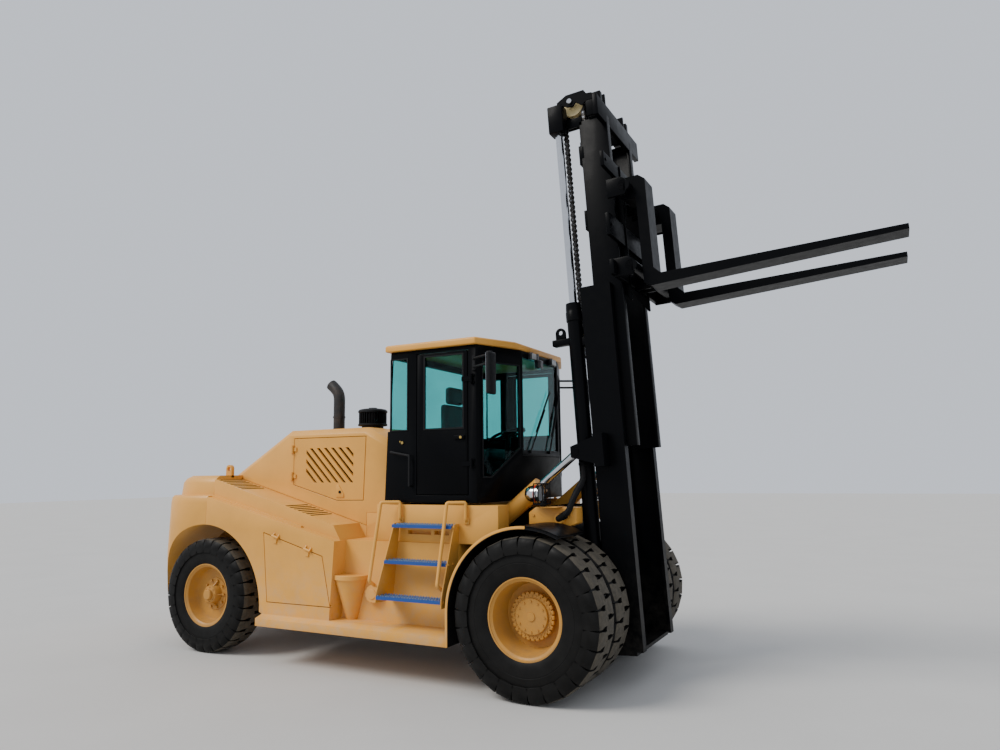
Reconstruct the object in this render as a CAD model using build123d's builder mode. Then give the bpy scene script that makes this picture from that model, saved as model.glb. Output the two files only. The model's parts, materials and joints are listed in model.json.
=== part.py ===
from build123d import *
import math
import os

os.makedirs("parts", exist_ok=True)

# Counterbalance forklift of the 20 tonne class, in millimetres.
# X runs forward to the forks, Y to the driver's left, Z up from the ground.
# Heights named ..._UP are measured along the mast from its tilt pivot, and
# distances named ..._OUT across the mast, forward from the pivot line.

# Whole machine
WHEELBASE = 3960
TAIL_OVERHANG = 1240
TAIL_REACH = WHEELBASE + TAIL_OVERHANG
BODY_HALF = 1200

# Drive wheels, twin tyres on each side
DRIVE_TYRE_RADIUS = 678
DRIVE_TYRE_WIDTH = 372
DRIVE_RIM_RADIUS = 357
DRIVE_BEAD_RADIUS = 322
TWIN_INNER_Y = 722
TWIN_SPACING = 408
DRIVE_LUG_DEPTH = 30
DRIVE_LUG_COUNT = 30
HUB_RADIUS = 205
HUB_CAP_RADIUS = 150

# Steered wheels, one tyre on each side
STEER_TYRE_RADIUS = 605
STEER_TYRE_WIDTH = 320
STEER_RIM_RADIUS = 345
STEER_BEAD_RADIUS = 312
STEER_TYRE_Y = 1005
STEER_LUG_DEPTH = 24
STEER_LUG_COUNT = 34
KINGPIN_Y = 760
KINGPIN_RADIUS = 42

# Gap round a turning pin or a sliding rod, and of a roller in its channel
PIN_GAP = 0.1
ROLLER_GAP = 0.3

# Door hinges
HINGE_PIN = 7
HINGE_KNUCKLE = 13
HINGE_OUT = 19
HINGE_INSET = 5
HINGE_LEAF = 32
HINGE_HALF = 44

# Axles
DRIVE_AXLE_RADIUS = 150
DRIVE_SPINDLE_RADIUS = 120
STUB_RADIUS = 58
STEER_AXLE_HALF = 95
KNUCKLE_SWING = 95

# Mast
MAST_TILT = 3.5
MAST_PIVOT_X = 420
MAST_PIVOT_Z = 700
PIVOT_PIN_RADIUS = 38
OUTER_FOOT_UP = -400
OUTER_TOP_UP = 2960
OUTER_FRONT_OUT = 326
OUTER_DEPTH = 300
OUTER_HALF = 500
OUTER_WEB = 28
OUTER_FLANGE = 95
FLANGE_THICK = 32
INNER_FOOT_UP = 1412
INNER_TOP_UP = 4690
INNER_FRONT_OUT = 415
INNER_DEPTH = 290
INNER_HALF = 400
INNER_WEB = 26
INNER_FLANGE = 90
RUNNING_GAP = 5
LIFT_STROKE = 1740
LIFT_BARREL_RADIUS = 78
LIFT_ROD_RADIUS = 50
LIFT_BARREL_TOP_UP = 2830
LIFT_CYLINDER_OUT = -100
LIFT_CYLINDER_Y = 438
CHAIN_WHEEL_RADIUS = 103
CHAIN_WHEEL_OUT = 75
CHAIN_WHEEL_UP = 4850
CHAIN_Y = 335
CHAIN_WIDTH = 46
CHAIN_THICK = 24

# Carriage and forks
CARRIAGE_PLATE_Y = 305
CARRIAGE_PLATE = 20
CARRIAGE_FOOT_UP = 2800
CARRIAGE_TOP_UP = 4060
ROLLER_LOW_UP = 3290
ROLLER_HIGH_UP = 3940
SHAFT_RADIUS = 55
SHAFT_OUT = 600
SHAFT_UP = 3800
SHAFT_HALF = 700
FORK_WIDTH = 250
FORK_Y = 435
FORK_THICK = 105
FORK_TIP_THICK = 45
FORK_HEEL_UP = 2832
FORK_SHANK_OUT = 774
FORK_LENGTH = 2050

# Tilt cylinders
TILT_Y = 600
TILT_REAR_X = -640
TILT_REAR_Z = 1375
TILT_EYE_OUT = -95
TILT_EYE_UP = 1388
TILT_BARREL_RADIUS = 82
TILT_ROD_RADIUS = 38
TILT_PIN_RADIUS = 32

# Cab
CAB_HALF = 1000
CAB_REAR_X = -1670
CAB_CORNER_X = -610
CAB_FRONT_X = -440
CAB_FRONT_HALF = 560
CAB_FLOOR_Z = 1620
CAB_TOP_Z = 3110
CAB_WALL = 45
ROOF_THICK = 60

# Arch over each steered wheel
ARCH_RADIUS = 850
ARCH_X = 10
ARCH_Z = 520

LEAN = math.radians(MAST_TILT)
FORK_TIP_OUT = FORK_SHANK_OUT + FORK_LENGTH
FORK_TIP_X = (MAST_PIVOT_X + FORK_TIP_OUT * math.cos(LEAN)
              - (FORK_HEEL_UP + FORK_THICK) * math.sin(LEAN))
AXLE_X = (TAIL_REACH - FORK_TIP_X) / 2
TWIN_OUTER_Y = TWIN_INNER_Y + TWIN_SPACING

MAST_FORWARD = Vector(math.cos(LEAN), 0, math.sin(LEAN))
MAST_UP = Vector(-math.sin(LEAN), 0, math.cos(LEAN))
MAST_PIVOT = Vector(AXLE_X + MAST_PIVOT_X, 0, MAST_PIVOT_Z)


# Drawing planes of the machine, with x measured from the drive axle
def side(y, x=0, z=0):
    return Plane(origin=(AXLE_X + x, y, z), x_dir=(1, 0, 0), z_dir=(0, -1, 0))


def level(z, x=0, y=0):
    return Plane(origin=(AXLE_X + x, y, z), x_dir=(1, 0, 0), z_dir=(0, 0, 1))


def across(x, y=0, z=0):
    return Plane(origin=(AXLE_X + x, y, z), x_dir=(0, 1, 0), z_dir=(1, 0, 0))


# Drawing planes of the tilted mast
def mast_point(out, y, up):
    return MAST_PIVOT + MAST_FORWARD * out + Vector(0, y, 0) + MAST_UP * up


def mast_side(y, out=0, up=0):
    return Plane(origin=mast_point(out, y, up), x_dir=MAST_FORWARD, z_dir=(0, -1, 0))


def mast_level(up, out=0, y=0):
    return Plane(origin=mast_point(out, y, up), x_dir=MAST_FORWARD, z_dir=MAST_UP)


def mast_across(out, y=0, up=0):
    return Plane(origin=mast_point(out, y, up), x_dir=(0, 1, 0), z_dir=MAST_FORWARD)


# Every piece is written under its own name, and a mirrored one for each side
def save(piece, name):
    piece.label = name
    export_step(piece, f"parts/{name}.step")


def save_pair(piece, name):
    save(piece, f"{name}_right")
    save(mirror(piece, about=Plane.XZ), f"{name}_left")


# Pieces that stand alike on both sides and belong to one name
def save_both(piece, name):
    save(Compound(children=[piece, mirror(piece, about=Plane.XZ)]), name)


# A block between two corners, in machine distances
def block(x0, x1, y0, y1, z0, z1, mode=Mode.ADD):
    with BuildSketch(level(z0, (x0 + x1) / 2, (y0 + y1) / 2)) as foot:
        Rectangle(x1 - x0, y1 - y0)
    extrude(foot.sketch, amount=z1 - z0, mode=mode)


# A block between two corners, in mast distances
def mast_block(out0, out1, y0, y1, up0, up1, mode=Mode.ADD):
    with BuildSketch(mast_level(up0, (out0 + out1) / 2, (y0 + y1) / 2)) as foot:
        Rectangle(out1 - out0, y1 - y0)
    extrude(foot.sketch, amount=up1 - up0, mode=mode)


# A flat plate between y0 and y1, with its outline drawn from the side
def side_plate(points, y0, y1, mode=Mode.ADD, plane=side):
    with BuildSketch(plane(y1)) as outline:
        with BuildLine():
            Polyline(*points, close=True)
        make_face()
    extrude(outline.sketch, amount=y1 - y0, mode=mode)


# A round bar along Y from y0 to y1, with its centre on the given side plane
def bar(plane, y0, y1, radius, mode=Mode.ADD):
    with BuildSketch(plane.offset(plane.origin.Y - y1)) as end:
        Circle(radius)
    extrude(end.sketch, amount=y1 - y0, mode=mode)


# A round rod between two points
def rod(start, end, radius, mode=Mode.ADD):
    run = end - start
    with BuildSketch(Plane(origin=start, z_dir=run)) as section:
        Circle(radius)
    extrude(section.sketch, amount=run.length, mode=mode)


# The two halves of a hinge. Its plane lies on the door's face at the edge of the
# opening, with x towards the fixed side, y outward and z along the hinge's pin.
def hinge_fixed(plane, stations):
    for station in stations:
        for start in (station - HINGE_HALF, station + HINGE_HALF / 2 + 1):
            with BuildSketch(plane.offset(start)) as section:
                with Locations((HINGE_INSET, HINGE_OUT)):
                    Circle(HINGE_KNUCKLE)
                with Locations((HINGE_INSET + HINGE_LEAF / 2, HINGE_KNUCKLE / 2)):
                    Rectangle(HINGE_LEAF, HINGE_KNUCKLE)
            extrude(section.sketch, amount=HINGE_HALF / 2 - 1)
        with BuildSketch(plane.offset(station - HINGE_HALF)) as pin:
            with Locations((HINGE_INSET, HINGE_OUT)):
                Circle(HINGE_PIN)
        extrude(pin.sketch, amount=2 * HINGE_HALF)


def hinge_moving(plane, stations):
    for station in stations:
        with BuildSketch(plane.offset(station - HINGE_HALF / 2)) as section:
            with Locations((HINGE_INSET, HINGE_OUT)):
                Circle(HINGE_KNUCKLE)
            with Locations((HINGE_INSET - HINGE_LEAF, HINGE_KNUCKLE / 2)):
                Rectangle(2 * HINGE_LEAF, HINGE_KNUCKLE)
            with Locations((HINGE_INSET, HINGE_OUT)):
                Circle(HINGE_PIN + PIN_GAP, mode=Mode.SUBTRACT)
        extrude(section.sketch, amount=HINGE_HALF)


# A ring of like depth turned about a wheel's axle, its section drawn in (y, radius)
def turned(axle_x, axle_z, points):
    with BuildSketch(across(axle_x, 0, axle_z)) as section:
        with BuildLine():
            Polyline(*points, close=True)
        make_face()
    revolve(section.sketch, axis=Axis((AXLE_X + axle_x, 0, axle_z), (0, 1, 0)))


# Tyre with two rows of lugs, the second half a pitch on from the first
def tyre(axle_x, middle, radius, width, bead, flange, lug_depth, lug_count):
    half = width / 2
    tread = radius - lug_depth
    side_radius = bead + (radius - bead) * 0.45
    lug_width = 2 * math.pi * radius / lug_count * 0.62
    turned(axle_x, radius, [
        (middle - half * 0.8, bead), (middle + half * 0.8, bead),
        (middle + half * 0.8, flange + 1), (middle + half * 0.96, flange + 16),
        (middle + half, side_radius),
        (middle + half * 0.94, tread - 45), (middle + half * 0.84, tread),
        (middle - half * 0.84, tread), (middle - half * 0.94, tread - 45),
        (middle - half, side_radius), (middle - half * 0.96, flange + 16),
        (middle - half * 0.8, flange + 1)])
    for way, first in ((1, 0), (-1, 180 / lug_count)):
        with BuildSketch(side(middle, axle_x, radius)) as lugs:
            with PolarLocations(radius - lug_depth / 2 - 8, lug_count, start_angle=first):
                Rectangle(lug_depth + 14, lug_width)
        extrude(lugs.sketch, amount=way * half * 0.9)


# One-piece rim with flanges at both edges, a disc, a hub and its cap, all
# placed by their distance outward from the rim's middle
def rim(axle_x, middle, radius, width, flange, bead, disc, disc_hole, hub, hub_out, cap, cap_out):
    half = width * 0.40 + 1
    seat = bead - 1
    turned(axle_x, radius, [
        (middle - half - 12, flange), (middle - half, flange), (middle - half, seat),
        (middle + half, seat), (middle + half, flange), (middle + half + 12, flange),
        (middle + half + 12, seat - 14), (middle + half - 40, seat - 30),
        (middle - disc + 26, seat - 30), (middle - disc + 26, disc_hole),
        (middle - disc, disc_hole), (middle - disc, seat - 30),
        (middle - half + 40, seat - 30), (middle - half - 12, seat - 14)])
    wheel = side(middle - disc, axle_x, radius)
    if hub:
        bar(wheel, middle - hub_out, middle - disc + 26, hub)
        bar(wheel, middle - cap_out, middle - hub_out, cap)


# Drive wheels: two tyres and their rims turn as one on each side
with BuildPart() as drive_tyres:
    for middle in (-TWIN_INNER_Y, -TWIN_OUTER_Y):
        tyre(0, middle, DRIVE_TYRE_RADIUS, DRIVE_TYRE_WIDTH, DRIVE_BEAD_RADIUS,
             DRIVE_RIM_RADIUS, DRIVE_LUG_DEPTH, DRIVE_LUG_COUNT)
save_pair(drive_tyres.part, "drive_tyres")

with BuildPart() as drive_rims:
    rim(0, -TWIN_INNER_Y, DRIVE_TYRE_RADIUS, DRIVE_TYRE_WIDTH, DRIVE_RIM_RADIUS,
        DRIVE_BEAD_RADIUS, 100, DRIVE_AXLE_RADIUS + 30, 0, 0, 0, 0)
    rim(0, -TWIN_OUTER_Y, DRIVE_TYRE_RADIUS, DRIVE_TYRE_WIDTH, DRIVE_RIM_RADIUS,
        DRIVE_BEAD_RADIUS, -60, 40, 0, 0, 0, 0)
    bar(side(0, 0, DRIVE_TYRE_RADIUS), -TWIN_OUTER_Y - 20, -TWIN_INNER_Y - 74, HUB_RADIUS)
    bar(side(0, 0, DRIVE_TYRE_RADIUS), -TWIN_OUTER_Y - 50, -TWIN_OUTER_Y - 20, HUB_CAP_RADIUS)
    bar(side(0, 0, DRIVE_TYRE_RADIUS), -TWIN_OUTER_Y + 120, -TWIN_INNER_Y - 60,
        DRIVE_SPINDLE_RADIUS + PIN_GAP, Mode.SUBTRACT)
save_pair(drive_rims.part, "drive_rims")

# Steered wheels
with BuildPart() as steer_tyre:
    tyre(-WHEELBASE, -STEER_TYRE_Y, STEER_TYRE_RADIUS, STEER_TYRE_WIDTH, STEER_BEAD_RADIUS,
         STEER_RIM_RADIUS, STEER_LUG_DEPTH, STEER_LUG_COUNT)
save_pair(steer_tyre.part, "steer_tyre")

with BuildPart() as steer_rim:
    rim(-WHEELBASE, -STEER_TYRE_Y, STEER_TYRE_RADIUS, STEER_TYRE_WIDTH, STEER_RIM_RADIUS,
        STEER_BEAD_RADIUS, 10, 60, 95, 90, 60, 130)
    bar(side(0, -WHEELBASE, STEER_TYRE_RADIUS), -STEER_TYRE_Y - 90, -STEER_TYRE_Y + 60, 90)
    bar(side(0, -WHEELBASE, STEER_TYRE_RADIUS), -STEER_TYRE_Y - 60, -STEER_TYRE_Y + 70,
        STUB_RADIUS + PIN_GAP, Mode.SUBTRACT)
save_pair(steer_rim.part, "steer_rim")

# Drive axle: a round housing with its final drives behind the inner rims
with BuildPart() as drive_axle:
    bar(side(0, 0, DRIVE_TYRE_RADIUS), -TWIN_INNER_Y - 60, TWIN_INNER_Y + 60, DRIVE_AXLE_RADIUS)
    bar(side(0, 0, DRIVE_TYRE_RADIUS), -130, 130, DRIVE_AXLE_RADIUS + 90)
    bar(side(0, 0, DRIVE_TYRE_RADIUS), -TWIN_OUTER_Y + 126, TWIN_OUTER_Y - 126, DRIVE_SPINDLE_RADIUS)
save(drive_axle.part, "drive_axle")

# Steer axle: a beam hung under the tail, forked round each kingpin
with BuildPart() as steer_axle:
    block(-WHEELBASE - STEER_AXLE_HALF, -WHEELBASE + STEER_AXLE_HALF, -KINGPIN_Y + KNUCKLE_SWING,
          KINGPIN_Y - KNUCKLE_SWING, STEER_TYRE_RADIUS - 90, STEER_TYRE_RADIUS + 90)
    for z0, z1 in ((STEER_TYRE_RADIUS + 100, STEER_TYRE_RADIUS + 145),
                   (STEER_TYRE_RADIUS - 145, STEER_TYRE_RADIUS - 100)):
        block(-WHEELBASE - 70, -WHEELBASE + 70, -KINGPIN_Y - 60, KINGPIN_Y + 60, z0, z1)
    for x in (-WHEELBASE - 60, -WHEELBASE + 60):
        block(x - 35, x + 35, -KINGPIN_Y + KNUCKLE_SWING, KINGPIN_Y - KNUCKLE_SWING,
              STEER_TYRE_RADIUS - 120, STEER_TYRE_RADIUS + 120)
    block(-WHEELBASE - 200, -WHEELBASE + 200, -160, 160, STEER_TYRE_RADIUS + 80,
          ARCH_Z + ARCH_RADIUS + 20)
    for y in (-KINGPIN_Y, KINGPIN_Y):
        with BuildSketch(level(0, -WHEELBASE, y)) as pin_hole:
            Circle(KINGPIN_RADIUS)
        extrude(pin_hole.sketch, amount=STEER_TYRE_RADIUS * 2, mode=Mode.SUBTRACT)
save(steer_axle.part, "steer_axle")

# Steering knuckle: kingpin, its block and the stub axle that carries the wheel
with BuildPart() as knuckle:
    with BuildSketch(level(STEER_TYRE_RADIUS - 150, -WHEELBASE, -KINGPIN_Y)) as pin:
        Circle(KINGPIN_RADIUS - PIN_GAP)
    extrude(pin.sketch, amount=300)
    block(-WHEELBASE - 60, -WHEELBASE + 60, -KINGPIN_Y - 70, -KINGPIN_Y + 62,
          STEER_TYRE_RADIUS - 94, STEER_TYRE_RADIUS + 94)
    bar(side(0, -WHEELBASE, STEER_TYRE_RADIUS), -STEER_TYRE_Y - 54, -KINGPIN_Y - 40, STUB_RADIUS)
save_pair(knuckle.part, "steer_knuckle")

# Main frame: two long side plates joined by cross plates, with the arms that
# carry the mast at the front and the cheeks above the inner tyres
FRAME_TOP_Z = 1250
FRAME_Y = 510
FRAME_TAIL_X = -WHEELBASE - 740
ARCH_CENTRE_X = -WHEELBASE + ARCH_X
with BuildPart() as frame:
    for y0 in (-FRAME_Y, FRAME_Y - 40):
        side_plate([(FRAME_TAIL_X, FRAME_TOP_Z + 150), (FRAME_TAIL_X, 1500), (-900, 1500), (-300, 1560), (0, 1560),
                    (0, 900), (150, 860), (190, 700), (150, 480), (-1000, 450), (-3060, 450)], y0, y0 + 40)
    for x0, x1, z0, z1 in ((-20, 0, 900, 1560), (-1000, -960, 460, 1500), (-2200, -2160, 460, 1500),
                           (-3040, -3000, 460, 1500), (FRAME_TAIL_X, FRAME_TAIL_X + 40, 1400, 1500),
                           (-WHEELBASE - 200, -WHEELBASE + 200, ARCH_Z + ARCH_RADIUS + 20, 1450)):
        block(x0, x1, -FRAME_Y + 40, FRAME_Y - 40, z0, z1)
    for y0 in (-310, 270):
        side_plate([(-20, 1100), (-20, 540), (150, 540), (MAST_PIVOT_X, 620), (MAST_PIVOT_X + 55, 700),
                    (MAST_PIVOT_X, 780), (200, 1000), (0, 1100)], y0, y0 + 40)
    for turn in (-1, 1):
        for y in (turn * (TILT_Y - 48), turn * (TILT_Y + 48)):
            side_plate([(TILT_REAR_X + 35, TILT_REAR_Z + 50), (TILT_REAR_X + 60, TILT_REAR_Z),
                        (TILT_REAR_X + 30, TILT_REAR_Z - 60), (-770, TILT_REAR_Z - 90),
                        (-770, TILT_REAR_Z + 90)], y - 8, y + 8)
        y0, y1 = sorted((turn * FRAME_Y, turn * (TILT_Y + 80)))
        block(-800, -760, y0, y1, TILT_REAR_Z - 95, TILT_REAR_Z + 115)
        bar(side(0, TILT_REAR_X, TILT_REAR_Z), turn * TILT_Y - 64, turn * TILT_Y + 64, TILT_PIN_RADIUS)
    with BuildSketch(side(0, ARCH_CENTRE_X, ARCH_Z)) as arch:
        Circle(ARCH_RADIUS)
    extrude(arch.sketch, amount=1500, both=True, mode=Mode.SUBTRACT)
    bar(side(0, MAST_PIVOT_X, MAST_PIVOT_Z), -320, 320, PIVOT_PIN_RADIUS + PIN_GAP, Mode.SUBTRACT)
    bar(side(0, 0, DRIVE_TYRE_RADIUS), -700, 700, DRIVE_AXLE_RADIUS, Mode.SUBTRACT)
    bar(side(0, 0, DRIVE_TYRE_RADIUS), -130, 130, DRIVE_AXLE_RADIUS + 90, Mode.SUBTRACT)
save(frame.part, "frame")

HOOD_HALF = 690
SHOULDER_FRONT_X = -2120
SHOULDER_FRONT_Z = 1364
SHOULDER_REAR_Z = 1860


# Height of the shoulder that falls from the tail to the steps
def shoulder(x):
    fall = (SHOULDER_REAR_Z - SHOULDER_FRONT_Z) / (SHOULDER_FRONT_X - TAIL_SEAM_X)
    return SHOULDER_FRONT_Z + fall * (SHOULDER_FRONT_X - x)


# Counterweight: a casting in two tiers with its rear corners rounded, open
# below for the steered wheels, with two lifting lugs and a tow pin socket
TAIL_SEAM_X = -WHEELBASE + 20
TAIL_FOOT_Z = 560
TAIL_LOW_TIER_Z = 1680
TAIL_TOP_Z = 1900
TAIL_CORNER = 470
TAIL_INSET = 90
LUG_X = -WHEELBASE - 15
LUG_Y = 840
LUG_BORE = 25
TOW_PIN_RADIUS = 25
with BuildPart() as counterweight:
    for inset, z0, z1 in ((0, TAIL_FOOT_Z, TAIL_LOW_TIER_Z), (TAIL_INSET, TAIL_LOW_TIER_Z, TAIL_TOP_Z)):
        with BuildSketch(level(z0)) as plan:
            with BuildLine():
                FilletPolyline((TAIL_SEAM_X, -BODY_HALF + inset), (-TAIL_REACH + inset, -BODY_HALF + inset),
                               (-TAIL_REACH + inset, BODY_HALF - inset),
                               (TAIL_SEAM_X, BODY_HALF - inset), radius=TAIL_CORNER)
                Line((TAIL_SEAM_X, BODY_HALF - inset), (TAIL_SEAM_X, -BODY_HALF + inset))
            make_face()
        extrude(plan.sketch, amount=z1 - z0)
    block(TAIL_SEAM_X - 155, TAIL_SEAM_X, -HOOD_HALF - 3, HOOD_HALF + 3, 1500, TAIL_TOP_Z, Mode.SUBTRACT)
    block(TAIL_SEAM_X - 770, TAIL_SEAM_X, -FRAME_Y, FRAME_Y, TAIL_FOOT_Z, 1500, Mode.SUBTRACT)
    with BuildSketch(side(0, ARCH_CENTRE_X, ARCH_Z)) as arch:
        Circle(ARCH_RADIUS)
    extrude(arch.sketch, amount=1500, both=True, mode=Mode.SUBTRACT)
    for y in (-LUG_Y - 20, LUG_Y - 20):
        with BuildSketch(side(y + 40)) as lug:
            with Locations((LUG_X - 10, TAIL_TOP_Z + 45)):
                SlotOverall(150, 90, rotation=90)
            with Locations((LUG_X - 10, TAIL_TOP_Z + 70)):
                Circle(LUG_BORE, mode=Mode.SUBTRACT)
        extrude(lug.sketch, amount=40)
    block(-TAIL_REACH, -TAIL_REACH + 110, -110, 110, 640, 800, Mode.SUBTRACT)
    with BuildSketch(level(560, -TAIL_REACH + 55)) as tow:
        Circle(TOW_PIN_RADIUS)
    extrude(tow.sketch, amount=400, mode=Mode.SUBTRACT)
save(counterweight.part, "counterweight")

# Side bodies: tank and battery boxes with a stepped shoulder that falls to
# the front, the wheel arch, the sill board and the tank under the steps
DOOR_OUTLINE = [(-3072, 1311), (-2268, 1097), (-2154, 605), (-3000, 602)]
DOOR_TOP = (Vector(-2268, 0, 1097) - Vector(-3072, 0, 1311)).normalized()
DOOR_HINGE = Plane(origin=(AXLE_X - 3072, -BODY_HALF, 1311), x_dir=(-DOOR_TOP.Z, 0, DOOR_TOP.X),
                   z_dir=DOOR_TOP)
DOOR_HINGE_STATIONS = (190, 640)
with BuildPart() as side_body:
    side_plate([(TAIL_SEAM_X + 3, 1670), (SHOULDER_FRONT_X, 1243), (-2170, 480), (-3060, 480),
                (TAIL_SEAM_X + 3, 900)], -BODY_HALF, -FRAME_Y)
    side_plate([(TAIL_SEAM_X + 3, SHOULDER_REAR_Z), (SHOULDER_FRONT_X, SHOULDER_FRONT_Z), (SHOULDER_FRONT_X, 1200),
                (TAIL_SEAM_X + 3, 1500)], -BODY_HALF + 100, -FRAME_Y)
    side_plate([(-2170, 1280), (-800, 1280), (-800, 480), (-2170, 480)], -1000, -FRAME_Y)
    side_plate([(SHOULDER_FRONT_X, 1500), (-1750, 1500), (-1750, 1280), (SHOULDER_FRONT_X, 1280)], -1000, -FRAME_Y)
    block(-3060, -830, -1290, -FRAME_Y, 380, 480)
    with BuildSketch(side(0, ARCH_CENTRE_X, ARCH_Z)) as arch:
        Circle(ARCH_RADIUS)
    extrude(arch.sketch, amount=1500, both=True, mode=Mode.SUBTRACT)
    side_plate(DOOR_OUTLINE, -BODY_HALF - 10, -BODY_HALF + 27, Mode.SUBTRACT)
    hinge_fixed(DOOR_HINGE, DOOR_HINGE_STATIONS)
    bar(side(0, -1738, 743), -1060, -1000, 60)
save_both(side_body.part, "side_bodies")

# Side door, hinged along its sloping top edge
with BuildPart() as side_door:
    with BuildSketch(side(-BODY_HALF + 20)) as panel:
        with BuildLine():
            Polyline(*DOOR_OUTLINE, close=True)
        make_face()
        offset(amount=-9, kind=Kind.INTERSECTION, mode=Mode.REPLACE)
    extrude(panel.sketch, amount=20)
    hinge_moving(DOOR_HINGE, DOOR_HINGE_STATIONS)
save_pair(side_door.part, "side_door")

MUDGUARD_RADIUS = 745

# Platform under the cab, open at the middle for the tilt cylinders
with BuildPart() as platform:
    block(-1750, -900, -1000, 1000, 1500, 1600)
    for y0, y1 in ((-1000, -790), (790, 1000)):
        block(-1750, -390, y0, y1, 1280, 1600)
    bar(side(0, 0, DRIVE_TYRE_RADIUS), -1100, 1100, MUDGUARD_RADIUS + 22, Mode.SUBTRACT)
    for x in (-1600, -900):
        for y in (-940, 820):
            block(x, x + 120, y, y + 120, 1600, CAB_FLOOR_Z)
save(platform.part, "platform")

# Engine hood: a hollow shell with sloping tail, bevelled top edges and an
# opening on each side for its door
HOOD_WALL = 30
HOOD_BEVEL = 85
HOOD_TOP_Z = 2400
HOOD_OUTLINE = [(-4090, shoulder(-4090) + 3), (-3240, HOOD_TOP_Z), (-1780, HOOD_TOP_Z), (-1780, 1500),
                (-2120, 1500), (-2123, shoulder(-2123) + 3)]
HOOD_DOOR_OUTLINE = [(-3155, 2280), (-3155, 1790), (-2531, 1620), (-2159, 1620), (-2145, 2280)]
HOOD_HINGES = [Plane(origin=(AXLE_X - 3155, turn * HOOD_HALF, 2035), x_dir=(-1, 0, 0), z_dir=(0, 0, -turn))
               for turn in (-1, 1)]
HOOD_HINGE_STATIONS = (-150, 150)
with BuildPart() as hood:
    with BuildSketch(side(HOOD_HALF)) as outline:
        with BuildLine():
            Polyline(*HOOD_OUTLINE, close=True)
        make_face()
    extrude(outline.sketch, amount=2 * HOOD_HALF)
    bevelled = [edge for edge in hood.edges().filter_by(Plane.XZ)
                if edge.center().Z > 2100]
    chamfer(bevelled, HOOD_BEVEL)
    with BuildSketch(side(HOOD_HALF - HOOD_WALL)) as inside:
        with BuildLine():
            Polyline((-3980, 1840), (-3232, HOOD_TOP_Z - HOOD_WALL), (-1780 - HOOD_WALL, HOOD_TOP_Z - HOOD_WALL),
                     (-1780 - HOOD_WALL, 1340), (-2300, 1340), close=True)
        make_face()
    extrude(inside.sketch, amount=2 * (HOOD_HALF - HOOD_WALL), mode=Mode.SUBTRACT)
    side_plate(HOOD_DOOR_OUTLINE, -HOOD_HALF - 10, HOOD_HALF + 10, Mode.SUBTRACT)
    for plane in HOOD_HINGES:
        hinge_fixed(plane, HOOD_HINGE_STATIONS)
save(hood.part, "hood")

# Hood door with slanting louvres cut through it
with BuildPart() as hood_door:
    with BuildSketch(side(-HOOD_HALF + HOOD_WALL)) as panel:
        with BuildLine():
            Polyline(*HOOD_DOOR_OUTLINE, close=True)
        make_face()
        offset(amount=-6, kind=Kind.INTERSECTION, mode=Mode.REPLACE)
    extrude(panel.sketch, amount=HOOD_WALL)
    with BuildSketch(side(-HOOD_HALF + HOOD_WALL)) as slots:
        for step in range(7):
            with Locations((-2870 + step * 85, 2010)):
                SlotOverall(330, 26, rotation=-52)
    extrude(slots.sketch, amount=HOOD_WALL, mode=Mode.SUBTRACT)
    hinge_moving(HOOD_HINGES[0], HOOD_HINGE_STATIONS)
save_pair(hood_door.part, "hood_door")

# Engine as one plain block between the frame's cross plates
with BuildPart() as engine:
    block(-3000, -2200, -380, 380, 760, 2050)
save(engine.part, "engine")

# Exhaust stack, bent to the rear at its mouth
EXHAUST_X = -2890
EXHAUST_Y = -240
EXHAUST_RADIUS = 68
with BuildPart() as exhaust:
    foot = Vector(AXLE_X + EXHAUST_X, EXHAUST_Y, HOOD_TOP_Z)
    with BuildLine() as route:
        FilletPolyline(foot, foot + Vector(0, 0, 500), foot + Vector(-130, 0, 640), radius=110)
    with BuildSketch(Plane(origin=foot, z_dir=(0, 0, 1))) as pipe:
        Circle(EXHAUST_RADIUS)
    sweep(pipe.sketch, path=route.line)
save(exhaust.part, "exhaust")

# Air pre-cleaner
CLEANER_X = -2400
with BuildPart() as precleaner:
    for z0, z1, radius in ((HOOD_TOP_Z, 2450, 150), (2450, 2560, 125), (2560, 2600, 165)):
        with BuildSketch(level(z0, CLEANER_X, EXHAUST_Y)) as ring:
            Circle(radius)
        extrude(ring.sketch, amount=z1 - z0)
save(precleaner.part, "precleaner")

# Cab shell, roof, doors and panes
CAB_PLAN = [(CAB_REAR_X, -CAB_HALF), (CAB_CORNER_X, -CAB_HALF), (CAB_FRONT_X, -CAB_FRONT_HALF),
            (CAB_FRONT_X, CAB_FRONT_HALF), (CAB_CORNER_X, CAB_HALF), (CAB_REAR_X, CAB_HALF)]
CAB_KNEE_Z = 2060
CAB_TOE_X = -720
WINDOW_FOOT_Z = 2315
WINDOW_TOP_Z = 3040
CAB_DOOR_X = (-1300, -660)
CAB_DOOR_Z = (1700, 3070)


def cab_solid(inset, mode=Mode.ADD):
    with BuildSketch(level(CAB_FLOOR_Z + inset)) as plan:
        with BuildLine():
            Polyline(*CAB_PLAN, close=True)
        make_face()
        offset(amount=-inset, kind=Kind.INTERSECTION, mode=Mode.REPLACE)
    rise = CAB_TOP_Z - CAB_FLOOR_Z - (inset and inset + 60) + (60 if inset else 0)
    extrude(plan.sketch, amount=rise if not inset else CAB_TOP_Z - CAB_FLOOR_Z, mode=mode)


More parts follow.
